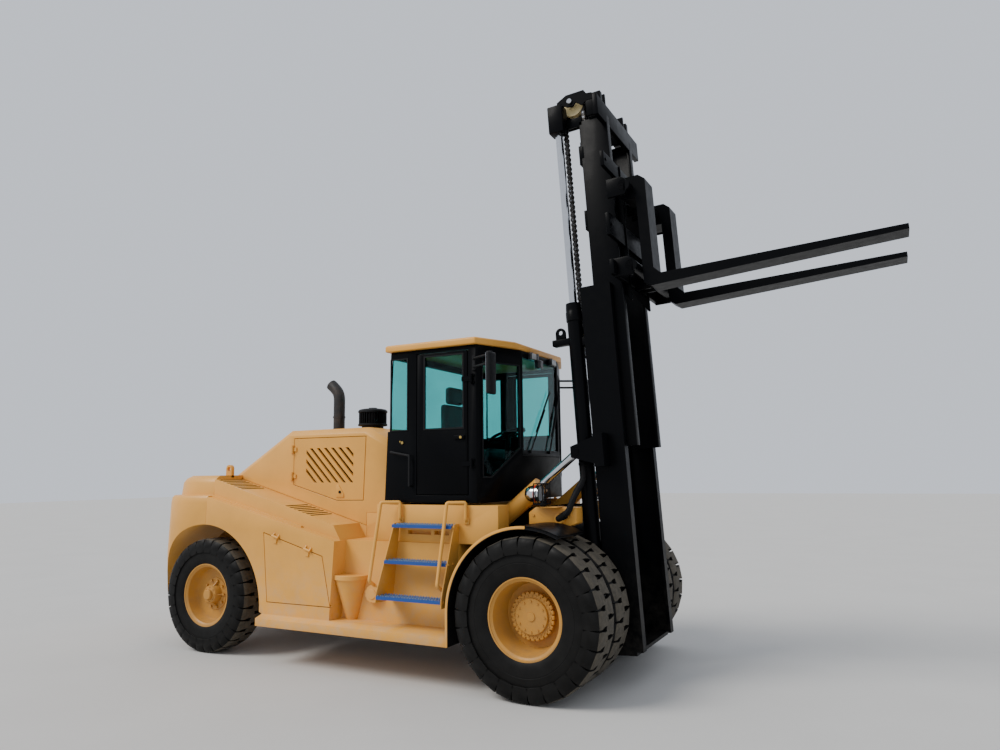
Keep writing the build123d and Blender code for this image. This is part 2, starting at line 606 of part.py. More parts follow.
CAB_HINGES = [Plane(origin=(AXLE_X + CAB_DOOR_X[1], turn * CAB_HALF, 2385), x_dir=(1, 0, 0), z_dir=(0, 0, turn))
              for turn in (-1, 1)]
CAB_HINGE_STATIONS = (-400, 400)
with BuildPart() as cab_inside:
    cab_solid(CAB_WALL)
    side_plate([(CAB_FRONT_X + 200, CAB_KNEE_Z), (CAB_FRONT_X - CAB_WALL, CAB_KNEE_Z + 20),
                (CAB_TOE_X - CAB_WALL, CAB_FLOOR_Z + 20), (CAB_TOE_X - CAB_WALL, CAB_FLOOR_Z),
                (CAB_FRONT_X + 200, CAB_FLOOR_Z)], -CAB_HALF - 50, CAB_HALF + 50, Mode.SUBTRACT)

with BuildPart() as cab:
    cab_solid(0)
    side_plate([(CAB_FRONT_X + 200, CAB_KNEE_Z), (CAB_FRONT_X, CAB_KNEE_Z), (CAB_TOE_X, CAB_FLOOR_Z),
                (CAB_TOE_X, CAB_FLOOR_Z - 20), (CAB_FRONT_X + 200, CAB_FLOOR_Z - 20)],
               -CAB_HALF - 50, CAB_HALF + 50, Mode.SUBTRACT)
    add(cab_inside.part, mode=Mode.SUBTRACT)
    for x0, x1 in ((-1600, -1380),):
        block(x0, x1, -CAB_HALF - 20, CAB_HALF + 20, WINDOW_FOOT_Z, WINDOW_TOP_Z, Mode.SUBTRACT)
    block(CAB_DOOR_X[0], CAB_DOOR_X[1], -CAB_HALF - 20, CAB_HALF + 20, CAB_DOOR_Z[0], CAB_DOOR_Z[1],
          Mode.SUBTRACT)
    for plane in CAB_HINGES:
        hinge_fixed(plane, CAB_HINGE_STATIONS)
    block(CAB_REAR_X - 20, CAB_REAR_X + CAB_WALL + 20, -780, 780, 2440, WINDOW_TOP_Z, Mode.SUBTRACT)
    block(CAB_FRONT_X - CAB_WALL - 20, CAB_FRONT_X + 20, -500, 500, 2120, WINDOW_TOP_Z, Mode.SUBTRACT)
save(cab.part, "cab")

with BuildPart() as cab_roof:
    with BuildSketch(level(CAB_TOP_Z)) as plan:
        with BuildLine():
            Polyline(*CAB_PLAN, close=True)
        make_face()
        offset(amount=40, kind=Kind.INTERSECTION, mode=Mode.REPLACE)
    extrude(plan.sketch, amount=ROOF_THICK)
save(cab_roof.part, "cab_roof")

with BuildPart() as cab_door:
    block(CAB_DOOR_X[0] + 6, CAB_DOOR_X[1] - 6, -CAB_HALF, -CAB_HALF + CAB_WALL, CAB_DOOR_Z[0] + 6,
          CAB_DOOR_Z[1] - 6)
    block(CAB_DOOR_X[0] + 90, CAB_DOOR_X[1] - 70, -CAB_HALF - 20, CAB_HALF, WINDOW_FOOT_Z, WINDOW_TOP_Z - 20,
          Mode.SUBTRACT)
    hinge_moving(CAB_HINGES[0], CAB_HINGE_STATIONS)
save_pair(cab_door.part, "cab_door")

with BuildPart() as door_glass:
    block(CAB_DOOR_X[0] + 90, CAB_DOOR_X[1] - 70, -CAB_HALF + 15, -CAB_HALF + 23, WINDOW_FOOT_Z,
          WINDOW_TOP_Z - 20)
save_pair(door_glass.part, "door_glass")

with BuildPart() as cab_glass:
    for y0 in (-CAB_HALF + 15, CAB_HALF - 23):
        block(-1600, -1380, y0, y0 + 8, WINDOW_FOOT_Z, WINDOW_TOP_Z)
    block(CAB_REAR_X + 15, CAB_REAR_X + 23, -780, 780, 2440, WINDOW_TOP_Z)
    block(CAB_FRONT_X - 23, CAB_FRONT_X - 15, -500, 500, 2120, WINDOW_TOP_Z)
save(cab_glass.part, "cab_glass")

# Seat and its base, and the steering column with its wheel
with BuildPart() as seat:
    block(-1380, -900, -260, 260, 2020, 2140)
    block(-1480, -1380, -250, 250, 2020, 2640)
save(seat.part, "seat")

with BuildPart() as seat_base:
    block(-1320, -920, -200, 200, CAB_FLOOR_Z + CAB_WALL, 2020)
save(seat_base.part, "seat_base")

with BuildPart() as console:
    block(-870, -800, -40, 40, CAB_FLOOR_Z + CAB_WALL, CAB_FLOOR_Z + CAB_WALL + 20)
    rod(Vector(AXLE_X - 835, 0, CAB_FLOOR_Z + CAB_WALL + 10), Vector(AXLE_X - 790, 0, 2290), 30)
    with BuildSketch(Plane(origin=(AXLE_X - 790, 0, 2290), z_dir=(-200, 0, 625))) as ring:
        Circle(190)
        Circle(165, mode=Mode.SUBTRACT)
        Rectangle(340, 30)
    extrude(ring.sketch, amount=24)
save(console.part, "console")

# Steps: side plates, rails and three treads on each side
STEP_X = (-1600, -830)
with BuildPart() as steps:
    for x0 in (STEP_X[0], STEP_X[1] - 12):
        with BuildSketch(across(x0)) as cheek:
            with BuildLine():
                Polyline((-1000, 1440), (-1090, 1440), (-1280, 800), (-1280, 690), (-1000, 690), close=True)
            make_face()
        extrude(cheek.sketch, amount=12)
save_both(steps.part, "steps")

with BuildPart() as treads:
    for z, y0, y1 in ((1430, -1150, -1000), (1120, -1210, -1010), (790, -1290, -1040)):
        block(STEP_X[0] + 12, STEP_X[1] - 12, y0, y1, z - 35, z)
save_both(treads.part, "treads")

with BuildPart() as handrails:
    for x in (STEP_X[0] - 40, STEP_X[1] + 20):
        with BuildLine() as route:
            FilletPolyline((AXLE_X + x, -1000, 1540), (AXLE_X + x, -1150, 1540),
                           (AXLE_X + x, -1290, 1180), (AXLE_X + x, -1290, 850),
                           (AXLE_X + x, -1000, 850), radius=45)
        with BuildSketch(Plane(origin=(AXLE_X + x, -1000, 1540), z_dir=(0, -1, 0))) as tube:
            Circle(17)
        sweep(tube.sketch, path=route.line)
save_both(handrails.part, "handrails")

# Mudguards over the twin wheels
with BuildPart() as mudguard:
    with BuildSketch(side(-700, 0, DRIVE_TYRE_RADIUS)) as arc:
        with BuildLine():
            CenterArc((0, 0), MUDGUARD_RADIUS, 60, 140)
            CenterArc((0, 0), MUDGUARD_RADIUS + 22, 60, 140)
            for angle in (60, 200):
                spoke = Vector(math.cos(math.radians(angle)), math.sin(math.radians(angle)))
                Line(spoke * MUDGUARD_RADIUS, spoke * (MUDGUARD_RADIUS + 22))
        make_face()
    extrude(arc.sketch, amount=612)
save_both(mudguard.part, "mudguards")

# Headlamps in their guards on the cheeks, mirrors and work lamps
with BuildPart() as headlamps:
    for y0 in (-1000, 800):
        block(-200, -20, y0, y0 + 200, 1450, 1640)
        block(-140, -80, y0 + 80, y0 + 120, 1425, 1450)
    bar(side(0, 0, DRIVE_TYRE_RADIUS), -1100, 1100, MUDGUARD_RADIUS + 22, Mode.SUBTRACT)
save(headlamps.part, "headlamps")

with BuildPart() as mirror_set:
    block(-645, -612, -1012, -CAB_HALF, 2860, 3000)
    for z in (2890, 2970):
        rod(Vector(AXLE_X - 628, -1012, z), Vector(AXLE_X - 350, -1180, z), 12)
    block(-365, -335, -1250, -1110, 2600, 2990)
save_both(mirror_set.part, "mirrors")

with BuildPart() as work_lamps:
    for y in (-480, 480):
        block(-440, -400, y - 60, y + 60, 3030, 3110)
save(work_lamps.part, "work_lamps")

# Outer mast: two channels joined behind by cross members, with the pivot lugs
# at its foot, the ears of the tilt cylinders and the chain anchors
OUTER_REAR_OUT = OUTER_FRONT_OUT - OUTER_DEPTH
INNER_REAR_OUT = INNER_FRONT_OUT - INNER_DEPTH


# A channel rail with its web outside and its flanges pointing inward
def rail(front, rear, half, web, flange, foot, top):
    for turn in (-1, 1):
        with BuildSketch(mast_level(foot)) as section:
            with BuildLine():
                Polyline((front, turn * half), (rear, turn * half), (rear, turn * (half - flange)),
                         (rear + FLANGE_THICK, turn * (half - flange)),
                         (rear + FLANGE_THICK, turn * (half - web)),
                         (front - FLANGE_THICK, turn * (half - web)),
                         (front - FLANGE_THICK, turn * (half - flange)),
                         (front, turn * (half - flange)), close=True)
            make_face()
        extrude(section.sketch, amount=top - foot)


with BuildPart() as outer_mast:
    rail(OUTER_FRONT_OUT, OUTER_REAR_OUT, OUTER_HALF, OUTER_WEB, OUTER_FLANGE, OUTER_FOOT_UP,
         OUTER_TOP_UP)
    for up0, up1 in ((-380, -200), (420, 560), (1500, 1640), (2760, 2900)):
        mast_block(OUTER_REAR_OUT, OUTER_REAR_OUT + FLANGE_THICK, -OUTER_HALF + OUTER_FLANGE,
                   OUTER_HALF - OUTER_FLANGE, up0, up1)
    mast_block(OUTER_REAR_OUT, OUTER_FRONT_OUT - 60, -OUTER_HALF, OUTER_HALF, OUTER_FOOT_UP - 30,
               OUTER_FOOT_UP)
    for y0 in (-355, -265, 225, 315):
        side_plate([(OUTER_REAR_OUT + 5, -380), (OUTER_REAR_OUT + 5, 20), (45, 60), (-45, 60),
                    (-60, 0), (-45, -60), (-20, -380)], y0, y0 + 40, plane=mast_side)
    bar(mast_side(0), -360, 360, PIVOT_PIN_RADIUS, Mode.ADD)
    for turn in (-1, 1):
        for y in (turn * (TILT_Y - 57), turn * (TILT_Y + 57)):
            side_plate([(OUTER_REAR_OUT + 150, TILT_EYE_UP + 150), (TILT_EYE_OUT - 45, TILT_EYE_UP + 50),
                        (TILT_EYE_OUT - 45, TILT_EYE_UP - 50), (OUTER_REAR_OUT + 150, TILT_EYE_UP - 150)],
                       y - 12, y + 12, plane=mast_side)
        y0, y1 = sorted((turn * OUTER_HALF, turn * (TILT_Y + 69)))
        mast_block(OUTER_REAR_OUT + 60, OUTER_REAR_OUT + 150, y0, y1, TILT_EYE_UP - 150, TILT_EYE_UP + 150)
        bar(mast_side(0, TILT_EYE_OUT, TILT_EYE_UP), turn * TILT_Y - 74, turn * TILT_Y + 74,
            TILT_PIN_RADIUS)
        y0, y1 = sorted((turn * 300, turn * 410))
        mast_block(-22, OUTER_REAR_OUT + FLANGE_THICK, y0, y1, 2530, 2570)
save(outer_mast.part, "outer_mast")

# Lift cylinder barrels, hollow for their rods and held to the outer mast
with BuildPart() as lift_barrels:
    for y in (-LIFT_CYLINDER_Y, LIFT_CYLINDER_Y):
        with BuildSketch(mast_level(OUTER_FOOT_UP + 40, LIFT_CYLINDER_OUT, y)) as tube:
            Circle(LIFT_BARREL_RADIUS)
        extrude(tube.sketch, amount=LIFT_BARREL_TOP_UP - OUTER_FOOT_UP - 40)
        with BuildSketch(mast_level(OUTER_FOOT_UP + 60, LIFT_CYLINDER_OUT, y)) as bore:
            Circle(LIFT_ROD_RADIUS + 6)
        extrude(bore.sketch, amount=LIFT_BARREL_TOP_UP - OUTER_FOOT_UP - 140, mode=Mode.SUBTRACT)
        with BuildSketch(mast_level(LIFT_BARREL_TOP_UP - 100, LIFT_CYLINDER_OUT, y)) as gland:
            Circle(LIFT_ROD_RADIUS + PIN_GAP)
        extrude(gland.sketch, amount=120, mode=Mode.SUBTRACT)
        for up in (100, 1300, 2400):
            y0, y1 = sorted((math.copysign(LIFT_CYLINDER_Y - 30, y), math.copysign(LIFT_CYLINDER_Y + 30, y)))
            mast_block(LIFT_CYLINDER_OUT + LIFT_BARREL_RADIUS - 10, OUTER_REAR_OUT, y0, y1, up, up + 80)
save(lift_barrels.part, "lift_barrels")

# Inner mast: two channels nested in the outer ones, cross members behind, the
# head beam across the top and the cheeks that carry wheels and rod heads
HEAD_FOOT_UP = 4660
HEAD_TOP_UP = 4900
HEAD_HALF = 620
with BuildPart() as inner_mast:
    rail(INNER_FRONT_OUT, INNER_REAR_OUT, INNER_HALF, INNER_WEB, INNER_FLANGE, INNER_FOOT_UP,
         INNER_TOP_UP)
    for up0, up1 in ((1430, 1570), (2600, 2740), (3560, 3760), (4240, 4440)):
        mast_block(INNER_REAR_OUT - 30, INNER_REAR_OUT, -INNER_HALF + 10, INNER_HALF - 10, up0, up1)
    mast_block(INNER_FRONT_OUT - 30, INNER_FRONT_OUT, -HEAD_HALF, HEAD_HALF, HEAD_FOOT_UP, HEAD_TOP_UP)
    for turn in (-1, 1):
        for low, high in ((INNER_HALF - 30, INNER_HALF), (270, 296)):
            y0, y1 = sorted((turn * low, turn * high))
            mast_block(-60, INNER_FRONT_OUT - 30, y0, y1, INNER_TOP_UP, HEAD_TOP_UP)
        y0, y1 = sorted((turn * 380, turn * 520))
        mast_block(LIFT_CYLINDER_OUT - 80, LIFT_CYLINDER_OUT + 80, y0, y1, 4600, 4780)
        y0, y1 = sorted((turn * (INNER_HALF - 30), turn * INNER_HALF))
        mast_block(-60, LIFT_CYLINDER_OUT + 80, y0, y1, 4600, HEAD_TOP_UP)
        bar(mast_side(0, CHAIN_WHEEL_OUT, CHAIN_WHEEL_UP), turn * CHAIN_Y - 65, turn * CHAIN_Y + 65, 22)
        bar(mast_side(0, OUTER_REAR_OUT + 150, INNER_FOOT_UP + 150), turn * 436 - 31, turn * 436 + 31,
            OUTER_DEPTH / 2 - FLANGE_THICK - ROLLER_GAP)
        bar(mast_side(0, OUTER_REAR_OUT + 150, INNER_FOOT_UP + 150), turn * 400 - 20, turn * 400 + 20, 40)
save(inner_mast.part, "inner_mast")

# Lift cylinder rods, fixed in the head of the inner mast
with BuildPart() as lift_rods:
    for y in (-LIFT_CYLINDER_Y, LIFT_CYLINDER_Y):
        with BuildSketch(mast_level(INNER_FOOT_UP + 20, LIFT_CYLINDER_OUT, y)) as section:
            Circle(LIFT_ROD_RADIUS)
        extrude(section.sketch, amount=4600 - INNER_FOOT_UP - 20)
save(lift_rods.part, "lift_rods")

# Chain wheels
with BuildPart() as chain_wheels:
    for y in (-CHAIN_Y, CHAIN_Y):
        wheel = mast_side(0, CHAIN_WHEEL_OUT, CHAIN_WHEEL_UP)
        bar(wheel, y - 25, y + 25, CHAIN_WHEEL_RADIUS)
        bar(wheel, y - 30, y + 30, 22.2, Mode.SUBTRACT)
save(chain_wheels.part, "chain_wheels")

# Lifting chains: down from the wheel to the anchors at the outer mast's back
# and at the carriage
CHAIN_ANCHOR_UP = 2575
CHAIN_CARRIAGE_UP = 4075
with BuildPart() as lift_chains:
    inner_radius = CHAIN_WHEEL_RADIUS + 0.5
    outer_radius = inner_radius + CHAIN_THICK
    for y in (-CHAIN_Y, CHAIN_Y):
        with BuildSketch(mast_side(y + CHAIN_WIDTH / 2, CHAIN_WHEEL_OUT, CHAIN_WHEEL_UP)) as loop:
            with BuildLine():
                CenterArc((0, 0), inner_radius, 0, 180)
                CenterArc((0, 0), outer_radius, 0, 180)
                for x in (inner_radius, -inner_radius):
                    reach = CHAIN_CARRIAGE_UP if x > 0 else CHAIN_ANCHOR_UP
                    drop = reach - CHAIN_WHEEL_UP
                    far = math.copysign(outer_radius, x)
                    Polyline((x, 0), (x, drop), (far, drop), (far, 0))
            make_face()
        extrude(loop.sketch, amount=CHAIN_WIDTH)
save(lift_chains.part, "lift_chains")

CARRIAGE_FRONT_OUT = INNER_FRONT_OUT + 60

# Carriage: side plates with rollers in the inner channels, front plates, two
# cross shafts for the forks and end plates
with BuildPart() as carriage:
    for turn in (-1, 1):
        y0, y1 = sorted((turn * (CARRIAGE_PLATE_Y - CARRIAGE_PLATE), turn * CARRIAGE_PLATE_Y))
        side_plate([(INNER_REAR_OUT + 50, ROLLER_LOW_UP - 60), (INNER_REAR_OUT + 50, CARRIAGE_TOP_UP - 80),
                    (CARRIAGE_FRONT_OUT, CARRIAGE_TOP_UP - 80), (CARRIAGE_FRONT_OUT, CARRIAGE_FOOT_UP),
                    (CARRIAGE_FRONT_OUT - 20, CARRIAGE_FOOT_UP)],
                   y0, y1, plane=mast_side)
        for up in (ROLLER_LOW_UP, ROLLER_HIGH_UP):
            y0, y1 = sorted((turn * CARRIAGE_PLATE_Y, turn * (INNER_HALF - INNER_WEB - RUNNING_GAP)))
            bar(mast_side(0, INNER_REAR_OUT + INNER_DEPTH / 2, up), y0, y1,
                INNER_DEPTH / 2 - FLANGE_THICK - ROLLER_GAP)
        y0, y1 = sorted((turn * 640, turn * 670))
        mast_block(SHAFT_OUT - 90, SHAFT_OUT + 75, y0, y1, 2960, CARRIAGE_TOP_UP)
        y0, y1 = sorted((turn * (CARRIAGE_PLATE_Y - CARRIAGE_PLATE), turn * (CHAIN_Y + 15)))
        mast_block(165, 230, y0, y1, 4052, 4068)
        y0, y1 = sorted((turn * (CARRIAGE_PLATE_Y - CARRIAGE_PLATE), turn * CARRIAGE_PLATE_Y))
        mast_block(180, 230, y0, y1, CARRIAGE_TOP_UP - 90, 4068)
    for up0, up1 in ((2960, 3100), (3560, 3680)):
        mast_block(CARRIAGE_FRONT_OUT - 40, CARRIAGE_FRONT_OUT, -SHAFT_HALF + 30, SHAFT_HALF - 30, up0, up1)
    for up in (SHAFT_UP, 3030):
        bar(mast_side(0, SHAFT_OUT, up), -SHAFT_HALF + 30, SHAFT_HALF - 30, SHAFT_RADIUS)
    for y in (-SHAFT_HALF + 30, -90, 60, SHAFT_HALF - 60):
        mast_block(CARRIAGE_FRONT_OUT - 40, SHAFT_OUT + 20, y, y + 30, 2960, SHAFT_UP + 30)
save(carriage.part, "carriage")

# Forks, hooked over the upper shaft and resting against the lower one
with BuildPart() as fork:
    side_plate([(FORK_SHANK_OUT - 100, FORK_HEEL_UP + 40), (FORK_SHANK_OUT - 40, FORK_HEEL_UP),
                (FORK_TIP_OUT, FORK_HEEL_UP + FORK_THICK - FORK_TIP_THICK),
                (FORK_TIP_OUT, FORK_HEEL_UP + FORK_THICK), (FORK_SHANK_OUT + 60, FORK_HEEL_UP + FORK_THICK),
                (FORK_SHANK_OUT, FORK_HEEL_UP + FORK_THICK + 60), (FORK_SHANK_OUT, SHAFT_UP + 60),
                (FORK_SHANK_OUT - 60, SHAFT_UP + 110), (SHAFT_OUT - 60, SHAFT_UP + 110),
                (SHAFT_OUT - 100, SHAFT_UP + 60), (SHAFT_OUT - 100, SHAFT_UP - 40),
                (SHAFT_OUT - 40, SHAFT_UP - 100), (FORK_SHANK_OUT - 100, SHAFT_UP - 100)],
               -FORK_Y - FORK_WIDTH / 2, -FORK_Y + FORK_WIDTH / 2, plane=mast_side)
    bar(mast_side(0, SHAFT_OUT, SHAFT_UP), -FORK_Y - 200, -FORK_Y + 200, SHAFT_RADIUS + 1, Mode.SUBTRACT)
save_pair(fork.part, "fork")

# Tilt cylinders, drawn along their own line from the rear pin to the rod eye
TILT_EYE = mast_point(TILT_EYE_OUT, -TILT_Y, TILT_EYE_UP)
TILT_REAR = Vector(AXLE_X + TILT_REAR_X, -TILT_Y, TILT_REAR_Z)
TILT_LINE = (TILT_EYE - TILT_REAR).normalized()
TILT_LENGTH = (TILT_EYE - TILT_REAR).length
TILT_BARREL_LENGTH = 640


def tilt_side(y, along=0):
    return Plane(origin=TILT_REAR + TILT_LINE * along + Vector(0, y, 0), x_dir=TILT_LINE, z_dir=(0, -1, 0))


with BuildPart() as tilt_barrel:
    rod(TILT_REAR + TILT_LINE * 70, TILT_REAR + TILT_LINE * TILT_BARREL_LENGTH, TILT_BARREL_RADIUS)
    bar(tilt_side(0), -TILT_Y - 30, -TILT_Y + 30, 60)
    with BuildSketch(tilt_side(30, 45)) as neck:
        Rectangle(90, 110)
    extrude(neck.sketch, amount=60)
    bar(tilt_side(0), -TILT_Y - 40, -TILT_Y + 40, TILT_PIN_RADIUS + PIN_GAP, Mode.SUBTRACT)
    rod(TILT_REAR + TILT_LINE * 100, TILT_REAR + TILT_LINE * (TILT_BARREL_LENGTH + 10),
        TILT_ROD_RADIUS + PIN_GAP, Mode.SUBTRACT)
save_pair(tilt_barrel.part, "tilt_barrel")

with BuildPart() as tilt_rod:
    rod(TILT_EYE - TILT_LINE * (TILT_LENGTH - 330), TILT_EYE - TILT_LINE * 40, TILT_ROD_RADIUS)
    bar(tilt_side(0, TILT_LENGTH), -TILT_Y - 28, -TILT_Y + 28, 58)
    bar(tilt_side(0, TILT_LENGTH), -TILT_Y - 40, -TILT_Y + 40, TILT_PIN_RADIUS + 6, Mode.SUBTRACT)
save_pair(tilt_rod.part, "tilt_rod")
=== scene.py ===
import json
import math

import bmesh
import bpy
from mathutils import Matrix, Vector


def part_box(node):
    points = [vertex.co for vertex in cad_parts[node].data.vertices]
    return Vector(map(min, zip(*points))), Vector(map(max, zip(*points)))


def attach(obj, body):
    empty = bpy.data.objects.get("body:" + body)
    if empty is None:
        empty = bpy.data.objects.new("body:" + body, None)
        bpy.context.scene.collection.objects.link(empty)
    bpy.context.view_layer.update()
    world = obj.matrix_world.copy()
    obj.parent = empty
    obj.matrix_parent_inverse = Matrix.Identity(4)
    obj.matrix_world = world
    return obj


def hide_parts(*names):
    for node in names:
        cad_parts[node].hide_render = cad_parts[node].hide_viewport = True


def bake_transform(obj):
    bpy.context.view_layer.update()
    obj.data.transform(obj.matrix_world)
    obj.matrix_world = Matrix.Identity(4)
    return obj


bl_info = {
    "name": "Counterbalance forklift",
    "version": (1, 0, 0),
    "blender": (4, 5, 0),
    "location": "View3D > Sidebar > Forklift",
    "description": "Body, cab, mast, wheels, finishes and studio of a heavy counterbalance forklift",
    "category": "Object",
}

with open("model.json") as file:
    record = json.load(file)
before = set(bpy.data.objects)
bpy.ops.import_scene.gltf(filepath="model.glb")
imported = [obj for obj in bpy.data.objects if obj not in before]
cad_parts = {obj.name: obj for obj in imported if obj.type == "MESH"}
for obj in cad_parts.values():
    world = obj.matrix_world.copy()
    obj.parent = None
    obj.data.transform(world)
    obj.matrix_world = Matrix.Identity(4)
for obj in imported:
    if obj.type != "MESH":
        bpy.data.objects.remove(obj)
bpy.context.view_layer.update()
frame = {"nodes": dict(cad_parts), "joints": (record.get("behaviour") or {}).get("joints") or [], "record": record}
NODES = frame["nodes"]
SLOTS = {part["node"]: part["material_slot"] for part in frame["record"]["subparts"]}
JOINTS = {joint["name"]: joint for joint in frame["joints"]}
SIDES = (("right", -1.0), ("left", 1.0))
AXLE_X = JOINTS["drive_spin_right"]["pos_m"][0]


# Settings that a user would change


class ForkliftFinishes(bpy.types.PropertyGroup):
    sand: bpy.props.FloatVectorProperty(
        name="Sand paint", description="Body paint",
        default=(0.74, 0.355, 0.062), size=3, subtype="COLOR", min=0.0, max=1.0)
    black: bpy.props.FloatVectorProperty(
        name="Black paint", description="Mast and cab frame paint",
        default=(0.0022, 0.0024, 0.0030), size=3, subtype="COLOR", min=0.0, max=1.0)
    tread_dust: bpy.props.FloatVectorProperty(
        name="Tread dust", description="Dry dust on the tyres' running faces",
        default=(0.090, 0.075, 0.052), size=3, subtype="COLOR", min=0.0, max=1.0)
    rubber: bpy.props.FloatVectorProperty(
        name="Rubber", description="Tyre side wall",
        default=(0.0055, 0.0053, 0.0050), size=3, subtype="COLOR", min=0.0, max=1.0)
    glass: bpy.props.FloatVectorProperty(
        name="Glass tint", description="Colour of the cab's panes",
        default=(0.30, 0.76, 0.74), size=3, subtype="COLOR", min=0.0, max=1.0)
    step_blue: bpy.props.FloatVectorProperty(
        name="Step blue", description="Paint on the step treads",
        default=(0.004, 0.045, 0.21), size=3, subtype="COLOR", min=0.0, max=1.0)


class ForkliftTyres(bpy.types.PropertyGroup):
    drive_lugs: bpy.props.IntProperty(
        name="Drive lugs", description="Lugs in one row of a drive tyre", default=26, min=12, max=60)
    steer_lugs: bpy.props.IntProperty(
        name="Steer lugs", description="Lugs in one row of a steered tyre", default=28, min=12, max=60)
    lug_depth: bpy.props.FloatProperty(
        name="Lug depth", description="Height of a lug over the tread's floor",
        default=0.026, min=0.005, max=0.06, unit="LENGTH")
    facets: bpy.props.IntProperty(
        name="Facets", description="Faces round a turned tyre", default=96, min=24, max=256)


class ForkliftCamera(bpy.types.PropertyGroup):
    place: bpy.props.FloatVectorProperty(
        name="Camera place", description="Where the camera stands",
        default=(AXLE_X + 2.826, -7.035, 1.884), size=3, subtype="TRANSLATION", unit="LENGTH")
    turn: bpy.props.FloatProperty(
        name="Turn", description="Turn from straight across the side towards the tail",
        default=0.4849, subtype="ANGLE", unit="ROTATION")
    rise: bpy.props.FloatProperty(
        name="Rise", description="Tilt of the view above level",
        default=0.1328, subtype="ANGLE", unit="ROTATION")
    lean: bpy.props.FloatProperty(
        name="Lean", description="Roll of the picture",
        default=0.0116, subtype="ANGLE", unit="ROTATION")
    lens: bpy.props.FloatProperty(
        name="Lens", description="Focal length on a 36 mm wide sensor",
        default=26.69, min=10.0, max=200.0, unit="CAMERA")


# Modelling steps


def deselect():
    if bpy.context.mode != "OBJECT":
        bpy.ops.object.mode_set(mode="OBJECT")
    bpy.ops.object.select_all(action="DESELECT")


def active(name):
    piece = bpy.context.view_layer.objects.active
    piece.name = name
    piece.data.name = name
    return piece


def pick(piece):
    deselect()
    piece.select_set(True)
    bpy.context.view_layer.objects.active = piece


def editing(piece, kind="FACE"):
    pick(piece)
    bpy.ops.object.mode_set(mode="EDIT")
    bpy.ops.mesh.select_mode(type=kind)


def choose_faces(piece, test):
    """Selects the faces whose centre and normal pass the test."""
    mesh = bmesh.from_edit_mesh(piece.data)
    for face in mesh.faces:
        face.select = bool(test(face.calc_center_median(), face.normal))
    mesh.select_flush_mode()
    bmesh.update_edit_mesh(piece.data)


def choose_edges(piece, test):
    """Selects the edges whose two ends pass the test."""
    mesh = bmesh.from_edit_mesh(piece.data)
    for vert in mesh.verts:
        vert.select = False
    for edge in mesh.edges:
        edge.select = bool(test(edge.verts[0].co, edge.verts[1].co))
    bmesh.update_edit_mesh(piece.data)


def settle(piece):
    """Applies the object's place so that it sits at the origin."""
    pick(piece)
    bpy.ops.object.transform_apply(location=True, rotation=True, scale=True)
    return piece


def modifier(piece, kind, **settings):
    pick(piece)
    added = piece.modifiers.new(kind.title(), kind)
    for key, value in settings.items():
        setattr(added, key, value)
    bpy.ops.object.modifier_apply(modifier=added.name)


def smooth(piece, angle=35):
    pick(piece)
    bpy.ops.object.shade_smooth_by_angle(angle=math.radians(angle))


def cube(name, centre, size):
    deselect()
    bpy.ops.mesh.primitive_cube_add(size=1.0, location=centre)
    piece = active(name)
    piece.scale = size
    return settle(piece)


def line_of(name, points):
    """One vertex, extruded from point to point."""
    deselect()
    bpy.ops.mesh.primitive_plane_add(size=0.001, location=points[0])
    piece = settle(active(name))
    editing(piece, "VERT")
    bpy.ops.mesh.select_all(action="SELECT")
    bpy.ops.mesh.merge(type="CENTER")
    here = Vector(points[0])
    for point in points[1:]:
        step = Vector(point) - here
        bpy.ops.mesh.extrude_vertices_move(TRANSFORM_OT_translate={"value": step})
        here = Vector(point)
    return piece


def turned(name, profile, centre, axis=(0, 1, 0), steps=96):
    """Spins a profile, given as (distance along the axis, radius), round the axis at centre."""
    centre, axis = Vector(centre), Vector(axis).normalized()
    out = axis.orthogonal().normalized()
    points = [centre + axis * along + out * radius for along, radius in profile]
    piece = line_of(name, points)
    bpy.ops.mesh.select_all(action="SELECT")
    bpy.ops.mesh.spin(steps=steps, angle=2 * math.pi, center=centre, axis=axis)
    bpy.ops.mesh.select_all(action="SELECT")
    bpy.ops.mesh.remove_doubles(threshold=0.00002)
    bpy.ops.mesh.normals_make_consistent(inside=False)
    bpy.ops.object.mode_set(mode="OBJECT")
    return piece


def plate(name, outline, thick):
    """A closed outline filled and extruded by the vector thick."""
    piece = line_of(name, outline)
    bpy.ops.mesh.select_all(action="SELECT")
    bpy.ops.mesh.edge_face_add()
    bpy.ops.mesh.select_all(action="SELECT")
    bpy.ops.mesh.extrude_region_move(TRANSFORM_OT_translate={"value": thick})
    bpy.ops.mesh.select_all(action="SELECT")
    bpy.ops.mesh.normals_make_consistent(inside=False)
    bpy.ops.object.mode_set(mode="OBJECT")
    return piece


def ring_of(piece, count, centre, axis=(0, 1, 0)):
    """Repeats a piece in one mesh round an axis."""
    editing(piece)
    bpy.ops.mesh.select_all(action="SELECT")
    bpy.ops.mesh.spin(
        steps=count - 1, angle=2 * math.pi * (count - 1) / count, dupli=True, center=centre, axis=axis)
    bpy.ops.object.mode_set(mode="OBJECT")
    return piece


def joined(name, pieces):
    deselect()
    for piece in pieces:
        piece.select_set(True)
    bpy.context.view_layer.objects.active = pieces[0]
    if len(pieces) > 1:
        bpy.ops.object.join()
    return active(name)


def mirrored(piece, name):
    """A copy on the machine's other side."""
    pick(piece)
    bpy.ops.object.duplicate()
    bpy.ops.transform.mirror(constraint_axis=(False, True, False), orient_type="GLOBAL",
        center_override=(0, 0, 0))
    twin = settle(active(name))
    bpy.ops.object.mode_set(mode="EDIT")
    bpy.ops.mesh.select_all(action="SELECT")
    bpy.ops.mesh.normals_make_consistent(inside=False)
    bpy.ops.object.mode_set(mode="OBJECT")
    return twin


